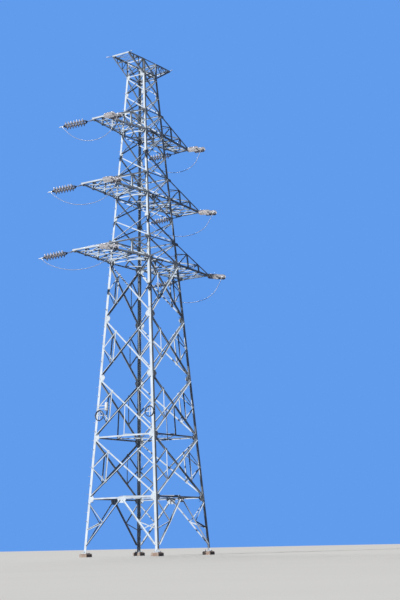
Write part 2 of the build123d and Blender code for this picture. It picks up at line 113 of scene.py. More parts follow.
class Recipe:
    """One node material under way, around its Principled shader."""

    FINER_OCTAVES = 0.55
    MIX_FIRST_COLOUR = 6
    MIX_SECOND_COLOUR = 7
    MIX_RESULT_COLOUR = 2

    def __init__(self, name: str) -> None:
        """Starts an empty material with the object's own coordinates.

        Args:
            name: name of the material.
        """
        self.material = bpy.data.materials.new(name)
        self.material.use_nodes = True
        self.nodes = self.material.node_tree.nodes
        self.links = self.material.node_tree.links
        self.shader = self.nodes["Principled BSDF"]
        self.coordinates = self.nodes.new("ShaderNodeTexCoord")
        self.place = self.coordinates.outputs["Object"]

    def stretched(self, scale: tuple[float, float, float]) -> Socket:
        """Coordinates scaled by axis.

        Args:
            scale: factor along X, Y and Z.

        Returns:
            The scaled coordinates.
        """
        node = self.nodes.new("ShaderNodeMapping")
        node.inputs["Scale"].default_value = scale
        self.links.new(self.place, node.inputs["Vector"])
        return node.outputs["Vector"]

    def grain(self, scale: float, detail: float, vector: Socket | None = None) -> Socket:
        """Noise over the object.

        Args:
            scale: features per metre.
            detail: octaves.
            vector: coordinates to read, the object's own if left out.

        Returns:
            The noise, from 0 to 1.
        """
        node = self.nodes.new("ShaderNodeTexNoise")
        node.inputs["Scale"].default_value = scale
        node.inputs["Detail"].default_value = detail
        node.inputs["Roughness"].default_value = self.FINER_OCTAVES
        self.links.new(vector or self.place, node.inputs["Vector"])
        return node.outputs["Fac"]

    def crystals(self, scale: float) -> Socket:
        """Random grey of each cell, as zinc crystals show.

        Args:
            scale: cells per metre.

        Returns:
            One value for each cell, from 0 to 1.
        """
        node = self.nodes.new("ShaderNodeTexVoronoi")
        node.inputs["Scale"].default_value = scale
        self.links.new(self.place, node.inputs["Vector"])
        split = self.nodes.new("ShaderNodeSeparateColor")
        self.links.new(node.outputs["Color"], split.inputs["Color"])
        return split.outputs["Red"]

    def ramp(self, value: Socket, band: Band) -> Socket:
        """Stretches a band of values to the range from 0 to 1.

        Args:
            value: value to stretch.
            band: values that become 0 and 1.

        Returns:
            The stretched value.
        """
        node = self.nodes.new("ShaderNodeMapRange")
        node.inputs["From Min"].default_value, node.inputs["From Max"].default_value = band
        self.links.new(value, node.inputs["Value"])
        return node.outputs["Result"]

    def pattern(self, pattern: Pattern) -> Socket:
        """Noise stretched to the range from 0 to 1.

        Args:
            pattern: the noise and the band of it that shows.

        Returns:
            The stretched noise.
        """
        place = self.stretched(pattern.stretch) if pattern.stretch else self.place
        noise_value = self.grain(pattern.scale, pattern.detail, place)
        return self.ramp(noise_value, pattern.band)

    def maths(self, operation: str, first: Socket, second: Socket | float = 0.0) -> Socket:
        """Works out one step of arithmetic.

        Args:
            operation: name of the step.
            first: first value.
            second: second value or number, where the step takes one.

        Returns:
            The result.
        """
        node = self.nodes.new("ShaderNodeMath")
        node.operation = operation
        self.links.new(first, node.inputs[0])
        if isinstance(second, Socket):
            self.links.new(second, node.inputs[1])
        else:
            node.inputs[1].default_value = second
        return node.outputs["Value"]

    def product(self, first: Socket, second: Socket | float) -> Socket:
        """Multiplies a value by another one or by a number."""
        return self.maths("MULTIPLY", first, second)

    def blend(self, factor: Socket, first: Colour | Socket, second: Colour | Socket) -> Socket:
        """Mixes two colours.

        Args:
            factor: 0 gives the first, 1 the second.
            first: colour or socket.
            second: colour or socket.

        Returns:
            The mixed colour.
        """
        node = self.nodes.new("ShaderNodeMix")
        node.data_type = "RGBA"
        self.links.new(factor, node.inputs["Factor"])
        for index, value in ((self.MIX_FIRST_COLOUR, first), (self.MIX_SECOND_COLOUR, second)):
            if isinstance(value, tuple):
                node.inputs[index].default_value = (*value, 1.0)
            else:
                self.links.new(value, node.inputs[index])
        return node.outputs[self.MIX_RESULT_COLOUR]

    def facing_up(self, band: Band) -> Socket:
        """How far the surface faces the sky.

        Args:
            band: upward parts of the normal that give 0 and 1.

        Returns:
            The value, from 0 to 1.
        """
        node = self.nodes.new("ShaderNodeNewGeometry")
        split = self.nodes.new("ShaderNodeSeparateXYZ")
        self.links.new(node.outputs["Normal"], split.inputs["Vector"])
        return self.ramp(split.outputs["Z"], band)

    def bump(self, height: Socket, strength: float, depth: float) -> None:
        """Adds a bump to the shader.

        Args:
            height: value that stands for height.
            strength: weight of the bump.
            depth: height in metres of a full step.
        """
        node = self.nodes.new("ShaderNodeBump")
        node.inputs["Strength"].default_value = strength
        node.inputs["Distance"].default_value = depth
        self.links.new(height, node.inputs["Height"])
        self.links.new(node.outputs["Normal"], self.shader.inputs["Normal"])

    def relief(self, relief: Relief) -> None:
        """Adds fine unevenness to the shader."""
        self.bump(self.grain(relief.scale, relief.detail), relief.strength, relief.depth)

    def colour(self, value: Socket) -> None:
        """Lets the colour follow a socket."""
        self.links.new(value, self.shader.inputs["Base Color"])

    def roughness(self, value: Socket, band: Band) -> None:
        """Lets the roughness follow a value.

        Args:
            value: value from 0 to 1.
            band: roughness at 0 and at 1.
        """
        node = self.nodes.new("ShaderNodeMapRange")
        node.inputs["To Min"].default_value, node.inputs["To Max"].default_value = band
        self.links.new(value, node.inputs["Value"])
        self.links.new(node.outputs["Result"], self.shader.inputs["Roughness"])

    def constant(self, socket: str, value: float | Colour) -> None:
        """Sets one of the shader's own sockets."""
        self.shader.inputs[socket].default_value = value


@dataclass(frozen=True)
class GalvanizedSteel:
    """Hot-dip zinc: crystals, dull patches, and run marks with a little dust down the length."""

    name: str
    bright: Colour
    dull: Colour
    stain: Colour = (0.30, 0.27, 0.24)
    metallic: float = 0.0
    gloss: float = 0.12
    roughness: Band = (0.46, 0.72)
    crystal_scale: float = 70.0
    crystal_cover: float = 0.30
    crystal_shade: float = 0.84
    run_cover: float = 0.30
    patches: Pattern = Pattern(2.2, band=(0.35, 0.68))
    runs: Pattern = Pattern(9.0, 5.0, (0.52, 0.80), (3.0, 3.0, 0.25))
    skin: Relief = Relief(180.0, 3.0, 0.18, 0.002)

    def material(self) -> bpy.types.Material:
        """Builds the material.

        Returns:
            The finished material.
        """
        recipe = Recipe(self.name)
        crystals = recipe.product(recipe.crystals(self.crystal_scale), self.crystal_cover)
        patches = recipe.pattern(self.patches)
        runs = recipe.product(recipe.pattern(self.runs), self.run_cover)
        zinc = recipe.blend(patches, self.bright, self.dull)
        zinc = recipe.blend(crystals, zinc, darkened(self.dull, self.crystal_shade))
        recipe.colour(recipe.blend(runs, zinc, self.stain))
        recipe.roughness(patches, self.roughness)
        recipe.relief(self.skin)
        recipe.constant("Metallic", self.metallic)
        recipe.constant("Specular IOR Level", self.gloss)
        return recipe.material


@dataclass(frozen=True)
class GlazedPorcelain:
    """Brown insulator glaze under a pale cover on all but its undersides: partly dust, partly painted
    sunlight and painted sky reflection.
    """

    name: str
    glaze: Colour = (0.24, 0.18, 0.17)
    glaze_deep: Colour = (0.11, 0.07, 0.06)
    # pale colour on all but the undersides: partly dust, partly painted sunlight and painted sky reflection
    dust: Colour = (0.92, 0.91, 0.93)
    topside_cover: float = 0.94
    topside_slopes: Band = (-0.78, -0.22)
    roughness: Band = (0.14, 0.42)
    glow: float = 0.35
    glow_reach: Colour = (1.0, 0.90, 0.86)
    glow_depth: float = 0.012
    coat: float = 0.35
    coat_roughness: float = 0.12
    mottle: Pattern = Pattern(28.0, 3.0)
    cover: Pattern = Pattern(14.0, 5.0, (0.20, 0.52))
    skin: Relief = Relief(60.0, 2.0, 0.08, 0.002)

    def material(self) -> bpy.types.Material:
        """Builds the material.

        Returns:
            The finished material.
        """
        recipe = Recipe(self.name)
        body = recipe.blend(recipe.pattern(self.mottle), self.glaze, self.glaze_deep)
        cover = recipe.pattern(self.cover)
        # mask of the pale cover on all faces but the undersides: partly dust, partly painted sunlight and sky
        # reflection
        topside = recipe.product(cover, recipe.facing_up(self.topside_slopes))
        recipe.colour(recipe.blend(recipe.product(topside, self.topside_cover), body, self.dust))
        recipe.roughness(cover, self.roughness)
        recipe.relief(self.skin)
        recipe.constant("Subsurface Weight", self.glow)
        recipe.constant("Subsurface Radius", self.glow_reach)
        recipe.constant("Subsurface Scale", self.glow_depth)
        recipe.constant("Coat Weight", self.coat)
        recipe.constant("Coat Roughness", self.coat_roughness)
        return recipe.material


@dataclass(frozen=True)
class StrandedAluminium:
    """Aluminium conductor: the lay of its outer wires with painted shade in the grooves between them, dulled
    by weather.
    """

    name: str
    bright: Colour = (0.74, 0.76, 0.78)
    dull: Colour = (0.50, 0.52, 0.55)
    groove_shade: float = 0.35
    metallic: float = 0.45
    roughness: Band = (0.34, 0.55)
    wires: float = 16.0
    lays: float = 16.0
    crown: Band = (-1.0, 0.2)
    groove_strength: float = 0.6
    groove_depth: float = 0.002
    patches: Pattern = Pattern(3.0)

    def material(self) -> bpy.types.Material:
        """Builds the material.

        Returns:
            The finished material.
        """
        recipe = Recipe(self.name)
        split = recipe.nodes.new("ShaderNodeSeparateXYZ")
        recipe.links.new(recipe.coordinates.outputs["UV"], split.inputs["Vector"])
        around = recipe.product(split.outputs["Y"], self.wires * math.tau)
        along = recipe.product(split.outputs["X"], self.wires * self.lays * math.tau)
        wave = recipe.maths("SINE", recipe.maths("ADD", around, along))
        wire = recipe.ramp(wave, self.crown)
        patches = recipe.pattern(self.patches)
        metal = recipe.blend(patches, self.bright, self.dull)
        # the grooves between the wires are darkened: painted shade
        recipe.colour(recipe.blend(wire, darkened(self.dull, self.groove_shade), metal))
        recipe.roughness(patches, self.roughness)
        recipe.bump(wire, self.groove_strength, self.groove_depth)
        recipe.constant("Metallic", self.metallic)
        return recipe.material


@dataclass(frozen=True)
class CableSheath:
    """Black cable sheath, greyed by sun and dust on its upper side."""

    name: str
    black: Colour = (0.022, 0.023, 0.027)
    grey: Colour = (0.075, 0.077, 0.082)
    dust: Colour = (0.24, 0.21, 0.18)
    topside_cover: float = 0.6
    topside_slopes: Band = (0.2, 1.0)
    roughness: Band = (0.42, 0.66)
    fading: Pattern = Pattern(9.0)
    dusting: Pattern = Pattern(35.0, band=(0.40, 0.75))
    skin: Relief = Relief(240.0, 2.0, 0.15, 0.001)

    def material(self) -> bpy.types.Material:
        """Builds the material.

        Returns:
            The finished material.
        """
        recipe = Recipe(self.name)
        faded = recipe.pattern(self.fading)
        sheath = recipe.blend(faded, self.black, self.grey)
        topside = recipe.product(recipe.facing_up(self.topside_slopes), recipe.pattern(self.dusting))
        recipe.colour(recipe.blend(recipe.product(topside, self.topside_cover), sheath, self.dust))
        recipe.roughness(faded, self.roughness)
        recipe.relief(self.skin)
        return recipe.material


@dataclass(frozen=True)
class WeatheredPaint:
    """Pale grey paint with run marks and chips down to a duller coat."""

    name: str
    paint: Colour = (0.76, 0.78, 0.79)
    shade: Colour = (0.60, 0.62, 0.63)
    grime: Colour = (0.26, 0.24, 0.21)
    run_cover: float = 0.40
    chip_cover: float = 0.7
    roughness: Band = (0.36, 0.62)
    patches: Pattern = Pattern(7.0)
    runs: Pattern = Pattern(26.0, 5.0, (0.50, 0.78), (2.0, 2.0, 0.2))
    chips: Pattern = Pattern(55.0, 2.0, (0.68, 0.72))
    skin: Relief = Relief(320.0, 2.0, 0.10, 0.001)

    def material(self) -> bpy.types.Material:
        """Builds the material.

        Returns:
            The finished material.
        """
        recipe = Recipe(self.name)
        coat = recipe.blend(recipe.pattern(self.patches), self.paint, self.shade)
        runs = recipe.pattern(self.runs)
        chips = recipe.pattern(self.chips)
        coat = recipe.blend(recipe.product(runs, self.run_cover), coat, self.grime)
        recipe.colour(recipe.blend(recipe.product(chips, self.chip_cover), coat, self.grime))
        recipe.roughness(runs, self.roughness)
        recipe.relief(self.skin)
        return recipe.material


@dataclass(frozen=True)
class CastConcrete:
    """Rough cast concrete with reddish soil splashed on it, pits and stains."""

    name: str
    pale: Colour = (0.44, 0.38, 0.33)
    dark: Colour = (0.27, 0.20, 0.16)
    soil: Colour = (0.36, 0.17, 0.09)
    soil_cover: float = 0.55
    pit_cover: float = 0.6
    roughness: Band = (0.80, 0.96)
    patches: Pattern = Pattern(6.0, 6.0, (0.32, 0.70))
    pits: Pattern = Pattern(90.0, 3.0, (0.62, 0.74))
    splashes: Pattern = Pattern(11.0, 6.0, (0.46, 0.68))
    skin: Relief = Relief(70.0, 6.0, 0.55, 0.006)

    def material(self) -> bpy.types.Material:
        """Builds the material.

        Returns:
            The finished material.
        """
        recipe = Recipe(self.name)
        patches = recipe.pattern(self.patches)
        pits = recipe.product(recipe.pattern(self.pits), self.pit_cover)
        soiled = recipe.product(recipe.pattern(self.splashes), self.soil_cover)
        cast = recipe.blend(patches, self.pale, self.dark)
        cast = recipe.blend(soiled, cast, self.soil)
        recipe.colour(recipe.blend(pits, cast, self.dark))
        recipe.roughness(patches, self.roughness)
        recipe.relief(self.skin)
        return recipe.material


class Stock:
    """Small shapes that are made once and set in many places."""

    MERGE = 1e-5
    HEXAGON = 6
    HEAD_HEIGHT = 0.38
    CHAMFER = 0.92
    THREAD = 0.5
    THREAD_LENGTH = 0.9
    THREAD_LEVEL = 1.4
    BOW_SIDES = 8
    BOW_STEPS = 8

    @classmethod
    def kept(cls, mesh: bmesh.types.BMesh, name: str, smooth: bool) -> bpy.types.Mesh:
        """Closes, orients and stores a shape.

        Args:
            mesh: shape under way, freed here.
            name: name of the stored mesh.
            smooth: whether its faces are shaded smooth.

        Returns:
            The stored mesh.
        """
        bmesh.ops.remove_doubles(mesh, verts=mesh.verts, dist=cls.MERGE)
        bmesh.ops.recalc_face_normals(mesh, faces=mesh.faces)
        for face in mesh.faces:
            face.smooth = smooth
        data = bpy.data.meshes.new(name)
        mesh.to_mesh(data)
        mesh.free()
        return data

    @classmethod
    def turned(cls, name: str, profile: Sequence[Point], steps: int, smooth: bool = True) -> bpy.types.Mesh:
        """Shape turned about Z from a profile.

        Args:
            name: name of the shape.
            profile: radius and height of each corner, from one end to the other.
            steps: sides around.
            smooth: whether it is shaded smooth.

        Returns:
            The stored mesh.
        """
        mesh = bmesh.new()
        rim = [mesh.verts.new((radius, 0.0, height)) for radius, height in profile]
        edges = [mesh.edges.new(pair) for pair in zip(rim, rim[1:])]
        bmesh.ops.spin(mesh, geom=rim + edges, cent=(0, 0, 0), axis=(0, 0, 1), angle=math.tau, steps=steps,
                       use_merge=True)
        return cls.kept(mesh, name, smooth)

    @classmethod
    def bolt(cls, name: str, across: float, grip: float) -> bpy.types.Mesh:
        """Hexagon bolt along Z: its head above the surface, its nut and thread below the grip.

        Args:
            name: name of the shape.
            across: width across the corners of the head.
            grip: thickness of what it clamps.

        Returns:
            The stored mesh.
        """
        mesh = bmesh.new()
        radius = across / 2
        head = across * cls.HEAD_HEIGHT
        chamfered = radius * cls.CHAMFER
        thread = radius * cls.THREAD
        cones = (
            (radius, chamfered, head, head / 2),
            (chamfered, radius, head, -grip - head / 2),
            (thread, thread, head * cls.THREAD_LENGTH, -grip - head * cls.THREAD_LEVEL),
        )
        for foot, top, depth, level in cones:
            bmesh.ops.create_cone(mesh, cap_ends=True, segments=cls.HEXAGON, radius1=foot, radius2=top,
                                  depth=depth, matrix=shifted(0.0, 0.0, level))
        return cls.kept(mesh, name, False)

    @classmethod
    def ring(cls, name: str, radius: float, rod: float, steps: int, sides: int) -> bpy.types.Mesh:
        """Closed ring about Z.

        Args:
            name: name of the shape.
            radius: radius of its middle line.
            rod: radius of its section.
            steps: sections around the ring.
            sides: sides of the section.

        Returns:
            The stored mesh.
        """
        mesh = bmesh.new()
        place = shifted(radius, 0.0, 0.0) @ turned_about("X", QUARTER_TURN)
        made = bmesh.ops.create_circle(mesh, cap_ends=False, segments=sides, radius=rod, matrix=place)
        edges = list({edge for vert in made["verts"] for edge in vert.link_edges})
        bmesh.ops.spin(mesh, geom=made["verts"] + edges, cent=(0, 0, 0), axis=(0, 0, 1), angle=math.tau,
                       steps=steps, use_merge=True)
        return cls.kept(mesh, name, True)

    @classmethod
    def bow(cls, name: str, radius: float, rod: float, leg: float) -> bpy.types.Mesh:
        """Bow of a shackle in the XZ plane: a half ring towards +Z and two straight legs towards -Z.

        Args:
            name: name of the shape.
            radius: radius of the bend's middle line.
            rod: radius of the rod.
            leg: length of each straight leg.

        Returns:
            The stored mesh.
        """
        mesh = bmesh.new()
        made = bmesh.ops.create_circle(mesh, cap_ends=True, segments=cls.BOW_SIDES, radius=rod,
                                       matrix=shifted(radius, 0.0, -leg))
        faces = list({face for vert in made["verts"] for face in vert.link_faces})
        lifted = bmesh.ops.extrude_face_region(mesh, geom=faces)["geom"]
        verts = [item for item in lifted if isinstance(item, bmesh.types.BMVert)]
        bmesh.ops.translate(mesh, verts=verts, vec=(0, 0, leg))
        top = [item for item in lifted if isinstance(item, bmesh.types.BMFace)]
        bent = bmesh.ops.spin(mesh, geom=top, cent=(0, 0, 0), axis=(0, -1, 0), angle=math.pi,
                              steps=cls.BOW_STEPS)["geom_last"]
        end = [item for item in bent if isinstance(item, bmesh.types.BMFace)]
        last = bmesh.ops.extrude_face_region(mesh, geom=end)["geom"]
        verts = [item for item in last if isinstance(item, bmesh.types.BMVert)]
        bmesh.ops.translate(mesh, verts=verts, vec=(0, 0, -leg))
        return cls.kept(mesh, name, True)


class Workpiece:
    """One object of the scene under way."""

    def __init__(self, name: str) -> None:
        """Starts an empty mesh."""
        self.name = name
        self.mesh = bmesh.new()

    def prism(self, outline: Sequence[Point], seat: Matrix, height: float) -> list[bmesh.types.BMVert]:
        """Extrudes an outline along the seat's Z.

        Args:
            outline: corners in the seat's XY plane.
            seat: where the outline lies.
            height: length of the extrusion.

        Returns:
            The corners of the new solid.
        """
        base = [self.mesh.verts.new(seat @ Vector((x, y, 0.0))) for x, y in outline]
        grown = bmesh.ops.extrude_face_region(self.mesh, geom=[self.mesh.faces.new(base)])["geom"]
        verts = [item for item in grown if isinstance(item, bmesh.types.BMVert)]
        bmesh.ops.translate(self.mesh, verts=verts, vec=seat.to_3x3() @ Vector((0.0, 0.0, height)))
        return base + verts

    def bar(self, section: Sequence[Point], start: Vector, end: Vector, out: Vector) -> None:
        """Straight bar of one section.

        Args:
            section: outline, its X along the outward direction.
            start: where its axis starts.
            end: where its axis ends.
            out: outward direction, made square to the axis.
        """
        run = end - start
        z_axis = run.normalized()
        x_axis = (out - z_axis * out.dot(z_axis)).normalized()
        seat = matrix_of(x_axis, z_axis.cross(x_axis), z_axis, start)
        self.prism(section, seat, run.length)

    def stamp(self, shape: bpy.types.Mesh, seat: Matrix) -> None:
        """Sets a stored shape at a place.

        Args:
            shape: the stored mesh.
            seat: its place.
        """
        copy = shape.copy()
        copy.transform(seat)
        self.mesh.from_mesh(copy)
        bpy.data.meshes.remove(copy)

    def finished(self, finish: bpy.types.Material, slot: Slot, replaced: Iterable[str] = (),
                 crease: float = 0.7) -> bpy.types.Object:
        """Turns the mesh into an object that rides on the tower.

        Args:
            finish: its material.
            slot: the record's slot of that finish; not used.
            replaced: solids that it stands for.
            crease: angle in radians past which a smooth edge shows sharp.

        Returns:
            The new object.
        """
        bmesh.ops.recalc_face_normals(self.mesh, faces=self.mesh.faces)
        data = bpy.data.meshes.new(self.name)
        self.mesh.to_mesh(data)
        self.mesh.free()
        data.set_sharp_from_angle(angle=crease)
        data.materials.append(finish)
        piece = bpy.data.objects.new(self.name, data)
        bpy.context.scene.collection.objects.link(piece)
        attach(piece, "root")
        if replaced:
            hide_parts(*replaced)
        log.info("%s: %d faces", self.name, len(data.polygons))
        return piece


def shifted(x: float, y: float, z: float) -> Matrix:
    """Place moved along the three axes."""
    return Matrix.Translation((x, y, z))


def turned_about(axis: str, angle: float) -> Matrix:
    """Turn about one axis."""
    return Matrix.Rotation(angle, 4, axis)


def matrix_of(x_axis: Vector, y_axis: Vector, z_axis: Vector, origin: Vector) -> Matrix:
    """Place whose axes and origin are given.

    Args:
        x_axis: direction of X.
        y_axis: direction of Y.
        z_axis: direction of Z.
        origin: where it lies.

    Returns:
        The place as a matrix.
    """
    columns = Matrix((x_axis, y_axis, z_axis)).transposed().to_4x4()
    return Matrix.Translation(origin) @ columns


def angle_section(width: float, wall: float, lip: int = 1) -> list[Point]:
    """Section of a rolled angle: one flange on the seat and the other standing from its edge.

    Args:
        width: width of each flange.
        wall: thickness.
        lip: edge that stands, 1 or -1.

    Returns:
        The outline, X outward from the seat.
    """
    edge = lip * width / 2
    inner = lip * (width / 2 - wall)
    return [(0.0, -edge), (wall, -edge), (wall, inner), (width, inner), (width, edge), (0.0, edge)]


def flat_section(width: float, wall: float) -> list[Point]:
    """Section of a flat bar that stands up from its seat by its wall."""
    return [(0.0, -width / 2), (wall, -width / 2), (wall, width / 2), (0.0, width / 2)]


def cut_plate(wide: float, high: float, flat: float, upright: float) -> list[Point]:
    """Outline of a plate whose four corners are cut off.

    Args:
        wide: half its width.
        high: half its height.
        flat: half the length of its top and foot edges.
        upright: half the length of its side edges.

    Returns:
        The outline.
    """
    return [(-wide, -upright), (-flat, -high), (flat, -high), (wide, -upright),
            (wide, upright), (flat, high), (-flat, high), (-wide, upright)]


@dataclass(frozen=True)
class TowerBody:
    """Sizes of the four-sided body, as the solids have them."""

    base_half: float = 2.290
    peak_half: float = 0.577
    peak_level: float = 25.200
    top_level: float = 26.050
    panel_levels: tuple[float, ...] = (2.870, 5.940, 8.980, 12.060, 15.000)
    cage_levels: tuple[float, ...] = (
        15.000, 16.150, 17.325, 18.500, 19.650, 20.825, 22.000, 23.150, 24.175, 25.200)
    lower_leg: float = 0.140
    upper_leg: float = 0.110
    leg_wall: float = 0.012
    lower_bar: float = 0.075
    lower_wall: float = 0.007
    upper_bar: float = 0.056
    upper_wall: float = 0.006
    node_step: float = 0.045
    arm_depth: float = 1.150
    splice_level: float = 15.575

    @property
    def taper(self) -> float:
        """How far each side leans in for each metre of height."""
        return (self.base_half - self.peak_half) / self.peak_level

    def half(self, level: float) -> float:
        """Half width over the legs at a level."""
        return max(self.base_half - self.taper * level, self.peak_half)

    def leg(self, level: float) -> float:
        """Flange width of the legs at a level."""
        return self.lower_leg if level < self.splice_level else self.upper_leg

    def crossing(self, low: float, high: float) -> float:
        """Level at which the diagonals of a panel cross.

        Args:
            low: level of the panel's foot.
            high: level of its head.

        Returns:
            The level of the crossing.
        """
        start = low + self.node_step
        stop = high - self.node_step
        return start + self.half(low) / (self.half(low) + self.half(high)) * (stop - start)


@dataclass(frozen=True)
class BodySide:
    """One side of the body: x runs to the right as seen from outside, and out stands off its plane."""

    body: TowerBody
    side: Side

    def turn(self) -> Matrix:
        """Turn from the front to this side."""
        return Matrix.Rotation(math.radians(self.side.value), 4, "Z")

    def normal(self, level: float) -> Vector:
        """Outward direction of the plane at a level."""
        taper = self.body.taper if level < self.body.peak_level else 0.0
        return self.turn().to_3x3() @ Vector((0.0, -1.0, taper)).normalized()

    def right(self) -> Vector:
        """Direction to the right along the plane."""
        return self.turn().to_3x3() @ Vector((1.0, 0.0, 0.0))

    def point(self, x: float, level: float, out: float = 0.0) -> Vector:
        """Place on the side.

        Args:
            x: distance to the right of the middle.
            level: height above the ground.
            out: distance off the plane.

        Returns:
            The point in the tower's frame.
        """
        flat = self.turn() @ Vector((x, -self.body.half(level), level))
        return flat + self.normal(level) * out

    def seat(self, x: float, level: float, out: float = 0.0) -> Matrix:
        """Place on the side as a matrix, X to the right, Y up the slope and Z outward.

        Args:
            x: distance to the right of the middle.
            level: height above the ground.
            out: distance off the plane.

        Returns:
            The place in the tower's frame.
        """
        normal = self.normal(level)
        right = self.right()
        return matrix_of(right, normal.cross(right), normal, self.point(x, level, out))


@dataclass
class Finishes:
    """Every material of the tower, built once."""

    leg: bpy.types.Material = field(default_factory=GalvanizedSteel(
        "zinc_on_legs", (0.72, 0.79, 0.85), (0.56, 0.62, 0.69)).material)
    bracing: bpy.types.Material = field(default_factory=GalvanizedSteel(
        "zinc_on_bracing", (0.66, 0.73, 0.80), (0.48, 0.54, 0.61)).material)
    arm: bpy.types.Material = field(default_factory=GalvanizedSteel(
        "zinc_on_arms", (0.66, 0.73, 0.80), (0.48, 0.54, 0.61)).material)
    plate: bpy.types.Material = field(default_factory=GalvanizedSteel(
        "zinc_on_plates", (0.69, 0.76, 0.82), (0.54, 0.60, 0.66), crystal_scale=45.0).material)
    bolt: bpy.types.Material = field(default_factory=GalvanizedSteel(
        "zinc_on_bolts", (0.58, 0.59, 0.60), (0.40, 0.40, 0.40), stain=(0.25, 0.15, 0.10), metallic=0.5,
        crystal_scale=160.0).material)
    # weathered zinc of the caps, yokes and shackles, darkened well beyond plain zinc as painted shade
    forging: bpy.types.Material = field(default_factory=GalvanizedSteel(
        "zinc_on_forgings", (0.30, 0.32, 0.35), (0.19, 0.20, 0.22), stain=(0.17, 0.10, 0.07), metallic=0.25,
        crystal_scale=120.0).material)
    clamp: bpy.types.Material = field(default_factory=GalvanizedSteel(
        "pressed_aluminium", (0.80, 0.81, 0.82), (0.68, 0.69, 0.70), metallic=0.35,
        roughness=(0.32, 0.50), crystal_scale=260.0).material)
    porcelain: bpy.types.Material = field(default_factory=GlazedPorcelain("brown_glaze").material)
    conductor: bpy.types.Material = field(default_factory=StrandedAluminium("stranded_aluminium").material)
    sheath: bpy.types.Material = field(default_factory=CableSheath("black_sheath").material)
    paint: bpy.types.Material = field(default_factory=WeatheredPaint("pale_grey_paint").material)
    concrete: bpy.types.Material = field(default_factory=CastConcrete("cast_concrete").material)


@dataclass
class Viewpoint:
    """Camera low on the ground ahead of the left front leg, looking up as the photograph does."""

    azimuth: float = -0.933842
    distance: float = 67.95623
    height: float = 0.400
    yaw: float = -0.042471
    pitch: float = 0.183949
    roll: float = -0.019907
    focal: float = 1326.517
    image_height: float = 600.0
    film_height: float = 24.0
    far_limit: float = 1000.0

    def build(self) -> bpy.types.Object:
        """Makes the camera and gives it to the scene.

        Returns:
            The camera object.
        """
        heading = self.azimuth + self.yaw
        place = Vector((
            math.sin(self.azimuth) * self.distance, -math.cos(self.azimuth) * self.distance, self.height))
        ahead = Vector((-math.sin(heading), math.cos(heading), 0.0))
        right = Vector((math.cos(heading), math.sin(heading), 0.0))
        look = ahead * math.cos(self.pitch) + UP * math.sin(self.pitch)
        up = right.cross(look)
        x_axis = right * math.cos(self.roll) + up * math.sin(self.roll)
        y_axis = up * math.cos(self.roll) - right * math.sin(self.roll)
        data = bpy.data.cameras.new("viewpoint")
        data.sensor_fit = "VERTICAL"
        data.sensor_height = self.film_height
        data.lens = self.focal / self.image_height * self.film_height
        data.clip_end = self.far_limit
        camera = bpy.data.objects.new("viewpoint", data)
        camera.matrix_world = matrix_of(x_axis, y_axis, -look, place)
        bpy.context.scene.collection.objects.link(camera)
        bpy.context.scene.camera = camera
        return camera


@dataclass(frozen=True)
class Lamp:
    """A distant lamp: light on a surface that faces it, angular size in radians, and where it shines."""

    name: str
    strength: float
    spread: float
    towards: tuple[float, float, float]

    def hang(self) -> None:
        """Adds the lamp to the scene."""
        data = bpy.data.lights.new(self.name, "SUN")
        data.energy = self.strength
        data.angle = self.spread
        lamp = bpy.data.objects.new(self.name, data)
        lamp.rotation_euler = Vector(self.towards).to_track_quat("-Z", "Y").to_euler()
        bpy.context.scene.collection.objects.link(lamp)


